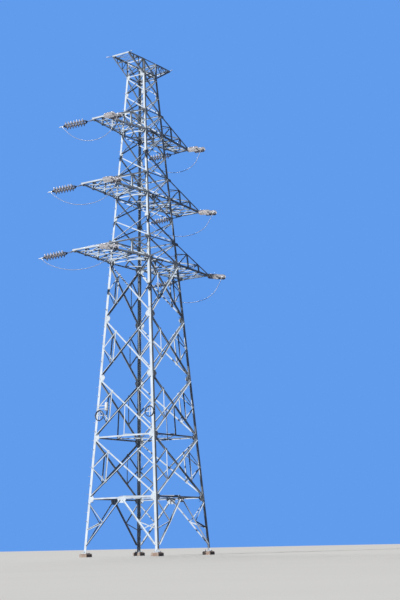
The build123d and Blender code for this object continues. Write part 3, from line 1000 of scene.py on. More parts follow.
@dataclass
class Studio:
    """Pale floor, plain blue background, a main lamp on the left and a softer one behind on the right."""

    sky: Colour = (0.12, 0.33, 0.84)
    ambient: Colour = (0.70, 0.82, 1.0)
    ambient_strength: float = 0.04
    floor_tint: Colour = (0.86, 0.85, 0.83)
    floor_shade: float = 0.93
    floor_patches: Point = (0.25, 6.0)
    floor_bounce: Colour = (0.06, 0.07, 0.10)
    floor_roughness: float = 0.9
    floor_half: float = 400.0
    lamps: tuple[Lamp, ...] = (
        Lamp("main_lamp", 4.1, 0.02, (0.933, 0.024, -0.358)),
        Lamp("back_lamp", 1.5, 0.50, (-0.60, -0.60, -0.53)),
        Lamp("fill_lamp", 0.06, 1.2, (-0.30, 0.85, -0.42)),
    )

    def background(self) -> None:
        """Gives the world its tint for the camera and mirrors, and a plain level for the rest."""
        world = bpy.data.worlds.new("studio")
        world.use_nodes = True
        nodes = world.node_tree.nodes
        links = world.node_tree.links
        nodes.clear()
        path = nodes.new("ShaderNodeLightPath")
        seen = path.outputs["Is Camera Ray"]
        for ray in ("Is Glossy Ray", "Is Transmission Ray"):
            either = nodes.new("ShaderNodeMath")
            either.operation = "MAXIMUM"
            links.new(seen, either.inputs[0])
            links.new(path.outputs[ray], either.inputs[1])
            seen = either.outputs["Value"]
        lit = nodes.new("ShaderNodeBackground")
        lit.inputs["Color"].default_value = (*self.ambient, 1.0)
        lit.inputs["Strength"].default_value = self.ambient_strength
        shown = nodes.new("ShaderNodeBackground")
        shown.inputs["Color"].default_value = (*self.sky, 1.0)
        mixed = nodes.new("ShaderNodeMixShader")
        links.new(seen, mixed.inputs["Fac"])
        links.new(lit.outputs["Background"], mixed.inputs[1])
        links.new(shown.outputs["Background"], mixed.inputs[2])
        output = nodes.new("ShaderNodeOutputWorld")
        links.new(mixed.outputs["Shader"], output.inputs["Surface"])
        bpy.context.scene.world = world

    def floor(self) -> None:
        """Adds the pale floor, which throws back only a little light."""
        mesh = bmesh.new()
        bmesh.ops.create_grid(mesh, x_segments=1, y_segments=1, size=self.floor_half)
        data = bpy.data.meshes.new("floor")
        mesh.to_mesh(data)
        mesh.free()
        recipe = Recipe("pale_floor")
        patches = recipe.grain(*self.floor_patches)
        shown = recipe.blend(patches, self.floor_tint, darkened(self.floor_tint, self.floor_shade))
        path = recipe.nodes.new("ShaderNodeLightPath")
        recipe.colour(recipe.blend(path.outputs["Is Camera Ray"], self.floor_bounce, shown))
        recipe.constant("Roughness", self.floor_roughness)
        recipe.constant("Specular IOR Level", 0.0)
        data.materials.append(recipe.material)
        floor = bpy.data.objects.new("floor", data)
        bpy.context.scene.collection.objects.link(floor)

    def build(self) -> None:
        """Builds the background, the lamps and the floor."""
        self.background()
        for lamp in self.lamps:
            lamp.hang()
        self.floor()
        bpy.context.scene.view_settings.view_transform = "Standard"


@dataclass(frozen=True)
class ArmEnd:
    """Where the strings hang from one crossarm: its level, reach and half width at the end."""

    name: str
    level: float
    reach: float
    end_half: float
    hand: int

    @property
    def label(self) -> str:
        """Name of the arm with its hand."""
        return f"{self.name}_{'left' if self.hand < 0 else 'right'}"


ARM_ENDS = [
    ArmEnd(name, level, reach, end_half, hand)
    for name, level, reach, end_half in (
        ("lower", 15.000, 4.790, 0.890), ("middle", 18.500, 4.290, 0.725), ("upper", 22.000, 3.770, 0.410))
    for hand in (-1, 1)
]


@dataclass(frozen=True)
class StringLine:
    """Axis of one strain string: from the arm's tip plate down and out along the line."""

    arm: ArmEnd
    end: int
    turn: float = 30.0
    rear_dip: float = 10.0
    front_dip: float = 12.0
    plate_inset: float = 0.075
    anchor_out: float = 0.045
    anchor_drop: float = 0.027
    lug_place: float = 1.596
    lug_length: float = 0.150
    rear_lug_slope: float = 45.0
    front_lug_slope: float = 62.0

    def heading(self) -> Vector:
        """Direction away from the tower, turned to the left at both ends.

        Returns:
            The direction.
        """
        turn = math.radians(self.turn)
        dip = math.radians(self.rear_dip if self.end > 0 else self.front_dip)
        return Vector((
            -math.sin(turn) * math.cos(dip), self.end * math.cos(turn) * math.cos(dip), -math.sin(dip)))

    def seat(self) -> Matrix:
        """Place of the string's tower end.

        Returns:
            The place, Z along the string and X upward.
        """
        arm = self.arm
        anchor = Vector((
            arm.hand * (arm.reach - self.plate_inset),
            self.end * (arm.end_half + self.anchor_out),
            arm.level - self.anchor_drop))
        heading = self.heading()
        side = heading.cross(UP).normalized()
        upward = side.cross(heading)
        return matrix_of(upward, heading.cross(upward), heading, anchor)

    def lug_heading(self) -> Vector:
        """Direction in which the jumper leaves its clamp: down and towards the arm's other end."""
        slope = math.radians(self.rear_lug_slope if self.end > 0 else self.front_lug_slope)
        return Vector((0.0, -self.end * math.cos(slope), -math.sin(slope)))

    def lug_seat(self) -> Matrix:
        """Place of the jumper lug on the clamp.

        Returns:
            The place, Z along the lug.
        """
        heading = self.lug_heading()
        side = heading.cross(UP).normalized()
        return matrix_of(side, heading.cross(side), heading, self.seat() @ (UP * self.lug_place))

    def lug_mouth(self) -> Vector:
        """Point at which the jumper leaves the lug."""
        return self.lug_seat() @ (UP * self.lug_length)


@dataclass
class JumperCables:
    """The six conductors that hang from clamp to clamp under the arms' ends."""

    diameter: float = 0.028
    first_run: float = 0.240
    last_run: float = 0.220
    shoulder: float = 0.570
    curve_steps: int = 8
    section_steps: int = 3
    spline_order: int = 3
    depths: dict[str, float] = field(default_factory=lambda: {
        "lower_left": 0.80, "lower_right": 1.20, "middle_left": 0.95, "middle_right": 1.05,
        "upper_left": 1.05, "upper_right": 1.05})
    lengths: dict[str, float] = field(default_factory=lambda: {
        "lower_left": 4.820, "lower_right": 5.128, "middle_left": 4.623, "middle_right": 4.705,
        "upper_left": 4.149, "upper_right": 4.149})
    route: tuple[Point, ...] = (
        (0.110, 0.770), (0.170, 0.920), (0.235, 1.055), (0.305, 1.170), (0.375, 1.260), (0.450, 1.322),
        (0.525, 1.358), (0.600, 1.368), (0.675, 1.352), (0.750, 1.305), (0.820, 1.220), (0.880, 1.105),
        (0.925, 0.930),
    )

    def points(self, arm: ArmEnd) -> list[Vector]:
        """Route of one jumper from the rear lug to the front lug.

        Args:
            arm: the arm's end it hangs under.

        Returns:
            The route's points.
        """
        rear = StringLine(arm, 1)
        front = StringLine(arm, -1)
        start = rear.lug_mouth()
        stop = front.lug_mouth()
        across = stop - start
        middle = []
        for share, drop in self.route:
            height = arm.level - self.shoulder - self.depths[arm.label] * (drop - self.shoulder)
            middle.append(Vector((start.x + across.x * share, start.y + across.y * share, height)))
        return [start, start + rear.lug_heading() * self.first_run, *middle,
                stop + front.lug_heading() * self.last_run, stop]

    def build(self, finishes: Finishes) -> None:
        """Makes each jumper as one smooth spline.

        Args:
            finishes: the tower's materials.
        """
        for arm in ARM_ENDS:
            points = self.points(arm)
            data = bpy.data.curves.new(f"jumper_cable_{arm.label}", "CURVE")
            data.dimensions = "3D"
            data.resolution_u = self.curve_steps
            data.bevel_depth = self.diameter / 2
            data.bevel_resolution = self.section_steps
            data.use_fill_caps = True
            spline = data.splines.new("NURBS")
            spline.points.add(len(points) - 1)
            for control, place in zip(spline.points, points):
                control.co = (*place, 1.0)
            spline.order_u = self.spline_order
            spline.use_endpoint_u = True
            data.materials.append(finishes.conductor)
            cable = bpy.data.objects.new(data.name, data)
            bpy.context.scene.collection.objects.link(cable)
            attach(cable, "root")
            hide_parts(f"jumper_{arm.label}")
            tuple(points[0])
            log.info("%s: %d points", data.name, len(points))


@dataclass
class StrainStrings:
    """Double strings of porcelain discs with their caps, yokes, shackles and dead-end clamps."""

    disc_count: int = 7
    pitch: float = 0.146
    row_offset: float = 0.200
    row_start: float = 0.360
    pin_length: float = 0.012
    row_length: float = 1.046
    clamp_start: float = 1.486
    yoke_depth: float = 0.110
    yoke_edge: float = 0.025
    yoke_wall: float = 0.016
    yoke_gap: float = 0.012
    yoke_bolt_inset: float = 0.024
    nose_bolt_inset: float = 0.016
    bolt_rise: float = 0.023
    shackle_places: Band = (0.030, 0.052)
    link_rises: Band = (-0.011, 0.023)
    link_wall: float = 0.012
    link_bolts: Band = (0.085, 0.268)
    link: tuple[Point, ...] = (
        (0.075, -0.017), (0.270, -0.017), (0.290, 0.0), (0.270, 0.017), (0.075, 0.017), (0.060, 0.0))
    socket_insets: Band = (0.036, 0.014)
    socket: tuple[Point, ...] = ((0.0, 0.0), (0.018, 0.0), (0.024, 0.014), (0.024, 0.040), (0.0, 0.048))
    palm_shift: float = 0.010
    palm_half: Point = (0.028, 0.004)
    palm_length: float = 0.060
    palm_bolt_offset: float = 0.017
    palm_bolt_places: Band = (0.016, 0.044)
    shell: tuple[Point, ...] = (
        (0.030, 0.052), (0.056, 0.056), (0.106, 0.070), (0.140, 0.104), (0.137, 0.117), (0.108, 0.106),
        (0.086, 0.116), (0.030, 0.104))
    cap: tuple[Point, ...] = ((0.0, -0.004), (0.026, -0.002), (0.044, 0.014), (0.048, 0.058), (0.0, 0.060))
    pin: tuple[Point, ...] = ((0.0, 0.100), (0.015, 0.102), (0.013, 0.150), (0.0, 0.152))
    clamp: tuple[Point, ...] = (
        (0.0, 0.0), (0.014, 0.0), (0.014, 0.023), (0.030, 0.030), (0.030, 0.080), (0.027, 0.085),
        (0.027, 0.114), (0.030, 0.118), (0.030, 0.163), (0.025, 0.173), (0.023, 0.241), (0.018, 0.250),
        (0.0, 0.247))
    lug: tuple[Point, ...] = (
        (0.0, -0.010), (0.020, -0.008), (0.020, 0.068), (0.017, 0.078), (0.017, 0.143), (0.015, 0.150),
        (0.0, 0.147))

    @property
    def offsets(self) -> Band:
        """How far the two rows lie from the string's axis."""
        return (-self.row_offset, self.row_offset)

    def rows(self, line: StringLine) -> Iterable[Matrix]:
        """Place of every disc of a string.

        Args:
            line: the string's axis.

        Returns:
            The places one by one, Z towards the line.
        """
        for offset in self.offsets:
            for disc in range(self.disc_count):
                along = self.row_start + self.pin_length + disc * self.pitch
                yield line.seat() @ shifted(0.0, offset, along)

    @staticmethod
    def flatwise(seat: Matrix, rise: float) -> Matrix:
        """Place of a plate that lies flat in the string, X along it and Z down, at a rise above its axis."""
        return seat @ matrix_of(UP, Vector((0, 1, 0)), Vector((-1, 0, 0)), Vector((rise, 0, 0)))

    def yoke(self, piece: Workpiece, seat: Matrix, wide_end: float, way: int) -> None:
        """Triangular yoke plate with cut corners that spreads the two rows.

        Args:
            piece: work piece it joins.
            seat: place of the string.
            wide_end: distance along the string at which the rows meet it.
            way: 1 where it narrows towards the tower and -1 towards the line.
        """
        half = self.row_offset + self.yoke_edge
        cut = self.yoke_edge
        narrow = wide_end - way * self.yoke_depth
        nose = cut * 1.2
        shoulder = wide_end - way * cut
        back = wide_end + way * cut * 0.6
        outline = [(narrow, -nose), (shoulder, -half), (back, -half + cut * 0.5),
                   (back, half - cut * 0.5), (shoulder, half), (narrow, nose)]
        piece.prism(outline, self.flatwise(seat, self.yoke_wall / 2), self.yoke_wall)

    def hardware(self, piece: Workpiece, line: StringLine, pin: bpy.types.Mesh, bow: bpy.types.Mesh,
                 socket: bpy.types.Mesh) -> None:
        """Shackle, twin link, yokes, sockets and bolts of one string.

        Args:
            piece: work piece they join.
            line: the string's axis.
            pin: bolt shape.
            bow: shackle shape.
            socket: shape of a socket at the end of a row.
        """
        seat = line.seat()
        start = self.row_start
        stop = self.row_start + self.row_length
        near, far = self.shackle_places
        piece.stamp(bow, seat @ shifted(0.0, 0.0, near) @ turned_about("X", math.pi))
        piece.stamp(bow, seat @ shifted(0.0, 0.0, far) @ turned_about("Z", QUARTER_TURN))
        for rise in self.link_rises:
            piece.prism(self.link, self.flatwise(seat, rise), self.link_wall)
        self.yoke(piece, seat, start - self.yoke_gap, 1)
        self.yoke(piece, seat, stop + self.yoke_gap, -1)
        bolts = [(0.0, place) for place in (*self.link_bolts, stop + self.yoke_depth - self.nose_bolt_inset)]
        bolts += [(offset, place) for offset in self.offsets
                  for place in (start - self.yoke_bolt_inset, stop + self.yoke_bolt_inset)]
        for across, along in bolts:
            piece.stamp(pin, seat @ shifted(self.bolt_rise, across, along) @ turned_about("Y", QUARTER_TURN))
        before, behind = self.socket_insets
        for offset in self.offsets:
            piece.stamp(socket, seat @ shifted(0.0, offset, start - before))
            piece.stamp(socket, seat @ shifted(0.0, offset, stop - behind))

    def clamps(self, piece: Workpiece, line: StringLine, body: bpy.types.Mesh, lug: bpy.types.Mesh,
               bolt: bpy.types.Mesh) -> None:
        """Dead-end clamp with its jumper lug.

        Args:
            piece: work piece they join.
            line: the string's axis.
            body: shape of the clamp.
            lug: shape of the jumper lug.
            bolt: bolt shape.
        """
        piece.stamp(body, line.seat() @ shifted(0.0, 0.0, self.clamp_start))
        lug_seat = line.lug_seat()
        piece.stamp(lug, lug_seat)
        palm = lug_seat @ shifted(0.0, -self.palm_shift, 0.0)
        wide, thick = self.palm_half
        piece.prism([(-wide, -thick), (wide, -thick), (wide, thick), (-wide, thick)], palm, self.palm_length)
        for across in (-self.palm_bolt_offset, self.palm_bolt_offset):
            for along in self.palm_bolt_places:
                piece.stamp(bolt, palm @ shifted(across, thick, along) @ turned_about("X", -QUARTER_TURN))

    def build(self, finishes: Finishes) -> None:
        """Makes the discs, caps and fittings of every arm's end.

        Args:
            finishes: the tower's materials.
        """
        shell = Stock.turned("disc_shell", (*self.shell, self.shell[0]), steps=14)
        cap = Stock.turned("disc_cap", self.cap, steps=10)
        pin = Stock.turned("disc_pin", self.pin, steps=6)
        socket = Stock.turned("row_socket", self.socket, steps=8)
        body = Stock.turned("clamp_body", self.clamp, steps=14)
        lug = Stock.turned("jumper_lug", self.lug, steps=12)
        bow = Stock.bow("shackle_bow", radius=0.017, rod=0.009, leg=0.030)
        cotter = Stock.bolt("yoke_bolt", across=0.032, grip=0.046)
        small = Stock.bolt("palm_bolt", across=0.016, grip=0.008)
        for arm in ARM_ENDS:
            discs = Workpiece(f"porcelain_discs_{arm.label}")
            caps = Workpiece(f"disc_caps_{arm.label}")
            fittings = Workpiece(f"string_hardware_{arm.label}")
            clamps = Workpiece(f"dead_end_clamps_{arm.label}")
            for end in (1, -1):
                line = StringLine(arm, end)
                for place in self.rows(line):
                    discs.stamp(shell, place)
                    caps.stamp(cap, place)
                    caps.stamp(pin, place)
                self.hardware(fittings, line, cotter, bow, socket)
                self.clamps(clamps, line, body, lug, small)
            discs.finished(finishes.porcelain, Slot.PORCELAIN, [f"insulators_{arm.label}"], crease=0.9)
            caps.finished(finishes.forging, Slot.FITTINGS, crease=0.9)
            fittings.finished(finishes.forging, Slot.FITTINGS, [f"string_fittings_{arm.label}"])
            clamps.finished(finishes.clamp, Slot.FITTINGS)


@dataclass
class FineBracing:
    """Redundant bars of the lower panels, hangers, node plates and every bolt of the body's sides."""

    body: TowerBody
    bar_width: float = 0.050
    bar_wall: float = 0.005
    trim: float = 0.050
    plate_wall: float = 0.010
    plate_gap: float = 0.001
    small_plate: float = 0.070
    lower_plate: Point = (0.20, 0.19)
    upper_plate: Point = (0.11, 0.13)
    plate_bolt_shares: Band = (0.35, 0.75)
    leg_bolt_shares: tuple[float, ...] = (-0.6, -0.2, 0.2, 0.6)
    leg_node_share: float = 0.45
    leg_bolt_share: float = 0.55
    leg_bolt_offset: float = 0.035
    knee_gusset_bolts: tuple[float, ...] = (-0.21, -0.14, 0.14, 0.21)
    knee_head: float = 0.10
    knee_foot: float = 0.42
    knee_foot_inset: float = 0.085
    knee_bolt_shares: tuple[float, ...] = (0.0, 0.05, 0.10)
    knee_foot_bolts: Band = (0.50, 0.60)
    hanger_panel: int = 1

    def diagonal_ends(self, low: float, high: float, hand: int) -> tuple[Point, Point, Point]:
        """Leg nodes and the crossing of a panel, in the side's own plane.

        Args:
            low: level of the panel's foot.
            high: level of its head.
            hand: -1 for the left leg and 1 for the right one.

        Returns:
            The low node, the high node and the crossing.
        """
        step = self.body.node_step
        low_node = (hand * self.body.half(low), low + step)
        high_node = (hand * self.body.half(high), high - step)
        return low_node, high_node, (0.0, self.body.crossing(low, high))

    def strip(self, piece: Workpiece, side: BodySide, start: Point, end: Point, layer: Layer,
              trims: Point = (0.0, 0.0), lip: int = 1) -> None:
        """Light angle between two places of a side.

        Args:
            piece: work piece it joins.
            side: the body's side.
            start: x and level of its start.
            end: x and level of its end.
            layer: face of the leg flange it lies on.
            trims: how much shorter it is at its start and end.
            lip: edge that stands, 1 or -1.
        """
        out = 0.0 if layer is Layer.OUTSIDE else -self.body.leg_wall
        first = side.point(*start, out)
        last = side.point(*end, out)
        along = (last - first).normalized()
        section = angle_section(self.bar_width, self.bar_wall, lip)
        outward = side.normal(start[1]) * layer.value
        piece.bar(section, first + along * trims[0], last - along * trims[1], outward)

    def lattice(self, piece: Workpiece, plates: Workpiece, bolts: Workpiece, side: BodySide,
                bolt: bpy.types.Mesh) -> None:
        """Redundant triangle beside each leg of the lower panels.

        Args:
            piece: work piece of the bars.
            plates: work piece of the plates.
            bolts: work piece of the bolts.
            side: the body's side.
            bolt: bolt shape.
        """
        levels = self.body.panel_levels
        for panel, (low, high) in enumerate(zip(levels, levels[1:])):
            for hand in (-1, 1):
                low_node, high_node, cross = self.diagonal_ends(low, high, hand)
                low_middle = ((low_node[0] + cross[0]) / 2, (low_node[1] + cross[1]) / 2)
                high_middle = ((high_node[0] + cross[0]) / 2, (high_node[1] + cross[1]) / 2)
                level = (low + high) / 2
                heel = self.body.half(level) - self.body.leg(level) * self.leg_node_share
                leg_node = (hand * heel, level)
                low_layer = Layer.OUTSIDE if hand < 0 else Layer.INSIDE
                high_layer = Layer.INSIDE if hand < 0 else Layer.OUTSIDE
                self.strip(piece, side, leg_node, low_middle, low_layer, (0.0, self.trim), hand)
                self.strip(piece, side, leg_node, high_middle, high_layer, (0.0, self.trim), -hand)
                self.strip(piece, side, low_middle, high_middle, Layer.OUTSIDE, (self.trim, self.trim), hand)
                for place in (low_middle, high_middle):
                    self.lozenge(plates, side, place)
                    bolts.stamp(bolt, side.seat(*place, self.body.lower_wall))
                for rise in (-self.leg_bolt_offset, self.leg_bolt_offset):
                    bolts.stamp(bolt, side.seat(leg_node[0], level + rise, self.bar_wall))
            if panel == self.hanger_panel:
                foot = (0.0, low + self.body.lower_bar / 2)
                cross = (0.0, self.body.crossing(low, high))
                self.strip(piece, side, foot, cross, Layer.INSIDE, (0.0, self.trim))

    def lozenge(self, piece: Workpiece, side: BodySide, place: Point) -> None:
        """Small plate between the two diagonals' layers.

        Args:
            piece: work piece it joins.
            side: the body's side.
            place: x and level of its middle.
        """
        half = self.small_plate
        outline = cut_plate(half, half, half * 0.5, half * 0.5)
        piece.prism(outline, side.seat(*place, -self.plate_wall - self.plate_gap), self.plate_wall)

    def node_plates(self, plates: Workpiece, bolts: Workpiece, side: BodySide, bolt: bpy.types.Mesh) -> None:
        """Plates that join the diagonals to the legs.

        Args:
            plates: work piece of the plates.
            bolts: work piece of the bolts.
            side: the body's side.
            bolt: bolt shape.
        """
        sizes = [(level, *self.lower_plate) for level in self.body.panel_levels]
        sizes += [(level, *self.upper_plate) for level in self.body.cage_levels[1:]]
        for level, reach, rise in sizes:
            for hand in (-1, 1):
                flange = self.body.leg(level)
                heel = hand * self.body.half(level)
                inner = heel - hand * (flange + self.plate_gap)
                end = inner - hand * reach
                corner = inner - hand * reach * 0.55
                lean = hand * self.body.taper
                outline = [(inner + lean * rise, -rise), (corner, -rise * 0.75), (end, -rise * 0.2),
                           (end, rise * 0.2), (corner, rise * 0.75), (inner - lean * rise, rise)]
                seat = side.seat(0.0, level, -self.plate_wall - self.plate_gap)
                plates.prism(outline, seat, self.plate_wall)
                width = self.body.lower_bar if level <= self.body.panel_levels[-1] else self.body.upper_bar
                for share in self.plate_bolt_shares:
                    for way in (-1, 1):
                        x = inner - hand * reach * share
                        height = level + way * (self.body.node_step + rise * share * 0.9)
                        bolts.stamp(bolt, side.seat(x, height, 0.0 if way * hand > 0 else width * 0.09))
                for share in self.leg_bolt_shares:
                    x = heel - hand * flange * self.leg_bolt_share
                    bolts.stamp(bolt, side.seat(x, level + rise * share, 0.0))

    def crossing_bolts(self, bolts: Workpiece, side: BodySide, bolt: bpy.types.Mesh) -> None:
        """Bolt through the filler wherever two diagonals cross.

        Args:
            bolts: work piece of the bolts.
            side: the body's side.
            bolt: bolt shape.
        """
        levels = self.body.panel_levels[:-1] + self.body.cage_levels + (self.body.top_level,)
        for low, high in zip(levels, levels[1:]):
            wall = self.body.lower_wall if high <= self.body.panel_levels[-1] else self.body.upper_wall
            bolts.stamp(bolt, side.seat(0.0, self.body.crossing(low, high), wall))

    def knee(self, bolts: Workpiece, side: BodySide, bolt: bpy.types.Mesh) -> None:
        """Bolts of the knee gusset and of the knee bars' feet.

        Args:
            bolts: work piece of the bolts.
            side: the body's side.
            bolt: bolt shape.
        """
        level = self.body.panel_levels[0]
        head = self.knee_head
        for x in self.knee_gusset_bolts:
            bolts.stamp(bolt, side.seat(x, level - 0.02, 0.0))
        for hand in (-1, 1):
            for share in self.knee_bolt_shares:
                x = hand * (head + (self.body.half(self.knee_foot) - head) * share)
                drop = (level - self.knee_foot - head) * share
                bolts.stamp(bolt, side.seat(x, level - head - drop, self.body.lower_wall))
            for rise in self.knee_foot_bolts:
                x = hand * (self.body.half(rise) - self.knee_foot_inset)
                bolts.stamp(bolt, side.seat(x, rise, self.body.lower_wall))

    def build(self, finishes: Finishes) -> None:
        """Makes the fine bracing, plates and bolts of the four sides.

        Args:
            finishes: the tower's materials.
        """
        bolt = Stock.bolt("body_bolt", across=0.034, grip=0.030)
        for choice in Side:
            side = BodySide(self.body, choice)
            name = choice.name.lower()
            bars = Workpiece(f"redundant_bars_{name}")
            plates = Workpiece(f"node_plates_{name}")
            bolts = Workpiece(f"body_bolts_{name}")
            self.lattice(bars, plates, bolts, side, bolt)
            self.node_plates(plates, bolts, side, bolt)
            self.crossing_bolts(bolts, side, bolt)
            self.knee(bolts, side, bolt)
            bars.finished(finishes.bracing, Slot.BRACING)
            plates.finished(finishes.plate, Slot.BRACING)
            bolts.finished(finishes.bolt, Slot.BRACING)


@dataclass
class LegHardware:
    """Anchor bolts and stiffeners at the feet, splice plates, and step bolts up the back left leg."""

    body: TowerBody
    base_top: float = 0.200
    plate_half: float = 0.150
    cap_height: float = 0.180
    base_inset: float = 0.070
    anchor_inset: float = 0.040
    stud: tuple[Point, ...] = ((0.0, 0.0), (0.015, 0.0), (0.015, 0.062), (0.011, 0.068), (0.0, 0.068))
    stiffener_rise: float = 0.150
    stiffener_reach: float = 0.070
    stiffener_wall: float = 0.010
    stiffener_inset: float = 0.065
    splice_half: float = 0.280
    splice_edges: Band = (0.004, 0.104)
    splice_wall: float = 0.010
    splice_bolt_inset: float = 0.054
    splice_bolt_pitch: float = 0.075
    splice_bolt_shift: float = 0.020
    step_pitch: float = 0.450
    step_start: float = 1.750
    step_inset: float = 0.045
    step_reach: float = 0.170

    def corners(self) -> Iterable[Point]:
        """Signs of X and Y at the four legs."""
        return [(x, y) for y in (-1, 1) for x in (-1, 1)]

    def feet(self, finishes: Finishes) -> None:
        """Anchor bolts with nuts, and two stiffeners on each base plate.

        Args:
            finishes: the tower's materials.
        """
        steel = Workpiece("foot_stiffeners")
        bolts = Workpiece("anchor_bolts")
        anchor = Stock.bolt("anchor_nut", across=0.056, grip=0.050)
        stud = Stock.turned("anchor_stud", self.stud, steps=10)
        middle = self.body.half(self.cap_height) - self.base_inset
        offset = self.plate_half - self.anchor_inset
        corner = self.body.half(self.base_top)
        inner = corner - self.stiffener_inset
        rise = self.stiffener_rise
        lean = self.body.taper * rise
        outline = [(-0.004, 0.0), (self.stiffener_reach, 0.0), (self.stiffener_reach, 0.025),
                   (-lean + 0.012, rise), (-lean - 0.004, rise)]
        for x, y in self.corners():
            centre = Vector((x * middle, y * middle, self.base_top))
            for dx in (-1, 1):
                for dy in (-1, 1):
                    place = Matrix.Translation(centre + Vector((dx * offset, dy * offset, 0.0)))
                    bolts.stamp(anchor, place)
                    bolts.stamp(stud, place)
            along_x = (Vector((0.0, y, 0.0)), Vector((x * inner, y * corner, self.base_top)))
            along_y = (Vector((x, 0.0, 0.0)), Vector((x * corner, y * inner, self.base_top)))
            for outward, spot in (along_x, along_y):
                across = outward.cross(UP)
                seat = matrix_of(outward, UP, across, spot - across * self.stiffener_wall / 2)
                steel.prism(outline, seat, self.stiffener_wall)
        steel.finished(finishes.leg, Slot.LEG)
        bolts.finished(finishes.bolt, Slot.LEG)

    def splices(self, finishes: Finishes) -> None:
        """Cover plates over the joint of the lower and upper leg lengths, with their bolts.

        Args:
            finishes: the tower's materials.
        """
        plates = Workpiece("splice_plates")
        bolts = Workpiece("splice_bolts")
        bolt = Stock.bolt("splice_bolt", across=0.034, grip=0.034)
        half = self.splice_half
        level = self.body.splice_level
        outer, inner = self.splice_edges
        for choice in Side:
            side = BodySide(self.body, choice)
            for hand in (-1, 1):
                heel = hand * self.body.half(level)
                lean = hand * self.body.taper * half
                outline = [(heel + lean - hand * outer, -half), (heel + lean - hand * inner, -half),
                           (heel - lean - hand * inner, half), (heel - lean - hand * outer, half)]
                plates.prism(outline, side.seat(0.0, level, 0.0), self.splice_wall)
                for step in (-3, -2, -1, 1, 2, 3):
                    shift = -self.splice_bolt_shift if step < 0 else self.splice_bolt_shift
                    rise = step * self.splice_bolt_pitch + shift
                    x = heel - hand * (self.splice_bolt_inset + self.body.taper * rise)
                    bolts.stamp(bolt, side.seat(x, level + rise, self.splice_wall))
        plates.finished(finishes.plate, Slot.LEG)
        bolts.finished(finishes.bolt, Slot.LEG)

    def steps(self, finishes: Finishes) -> None:
        """Step bolts, by turns on the two flanges of the back left leg.

        Args:
            finishes: the tower's materials.
        """
        piece = Workpiece("step_bolts")
        reach = self.step_reach
        peg = Stock.turned("step_bolt", (
            (0.0, -0.030), (0.014, -0.030), (0.014, -0.013), (0.008, -0.012), (0.008, 0.0), (0.015, 0.001),
            (0.015, 0.014), (0.008, 0.015), (0.008, reach - 0.010), (0.014, reach - 0.008), (0.014, reach),
            (0.0, reach)), steps=8)
        flanges = ((BodySide(self.body, Side.LEFT), -1), (BodySide(self.body, Side.BACK), 1))
        level = self.step_start
        index = 0
        while level < self.body.peak_level:
            side, hand = flanges[index % 2]
            x = hand * (self.body.half(level) - self.step_inset)
            piece.stamp(peg, side.seat(x, level, 0.0))
            level += self.step_pitch
            index += 1
        piece.finished(finishes.bolt, Slot.LEG)

    def build(self, finishes: Finishes) -> None:
        """Makes the hardware of the legs.

        Args:
            finishes: the tower's materials.
        """
        self.feet(finishes)
        self.splices(finishes)
        self.steps(finishes)


@dataclass
class Footings:
    """Four rough concrete caps that stand for the plain ones."""

    body: TowerBody
    half: float = 0.230
    height: float = 0.180
    leg_inset: float = 0.070
    chamfer: float = 0.040
    rounding: float = 0.018
    roughness: float = 0.005
    side_grain: float = 22.0
    top_grain: float = 17.0
    top_shift: tuple[float, float, float] = (4.0, 9.0, 2.0)
    plate_reach: float = 0.155
    foot_level: float = 0.01

    def build(self, finishes: Finishes) -> None:
        """Makes the caps: chamfered, rounded at the corners and roughened.

        Args:
            finishes: the tower's materials.
        """
        piece = Workpiece("footing_caps")
        middle = self.body.half(self.height) - self.leg_inset
        mesh = piece.mesh
        for x, y in ((-1, -1), (1, -1), (1, 1), (-1, 1)):
            place = shifted(x * middle, y * middle, self.height / 2)
            size = Matrix.Diagonal((2 * self.half, 2 * self.half, self.height, 1.0))
            bmesh.ops.create_cube(mesh, size=1.0, matrix=place @ size)
        top = [edge for edge in mesh.edges if all(vert.co.z > self.height * 0.9 for vert in edge.verts)]
        bmesh.ops.bevel(mesh, geom=top, offset=self.chamfer, offset_type="OFFSET", segments=1, profile=0.5,
                        affect="EDGES", material=-1)
        upright = [edge for edge in mesh.edges
                   if abs(edge.verts[0].co.z - edge.verts[1].co.z) > self.height * 0.6]
        bmesh.ops.bevel(mesh, geom=upright, offset=self.rounding, offset_type="OFFSET", segments=2,
                        profile=0.5, affect="EDGES", material=-1)
        bmesh.ops.triangulate(mesh, faces=mesh.faces)
        bmesh.ops.subdivide_edges(mesh, edges=mesh.edges, cuts=5, use_grid_fill=True)
        for vert in mesh.verts:
            centre = Vector((math.copysign(middle, vert.co.x), math.copysign(middle, vert.co.y), vert.co.z))
            dent = 0.5 + 0.5 * noise.noise(vert.co * self.side_grain)
            inward = (centre - vert.co).normalized() * self.roughness * dent
            pit = 0.5 + 0.5 * noise.noise(vert.co * self.top_grain + Vector(self.top_shift))
            off_centre = max(abs(vert.co.x - centre.x), abs(vert.co.y - centre.y))
            vert.co += Vector((inward.x, inward.y, 0.0))
            if vert.co.z > self.foot_level and off_centre >= self.plate_reach:
                vert.co.z -= self.roughness * pit
        for face in mesh.faces:
            face.smooth = True
        piece.finished(finishes.concrete, Slot.CONCRETE, ["footings"], crease=0.5)


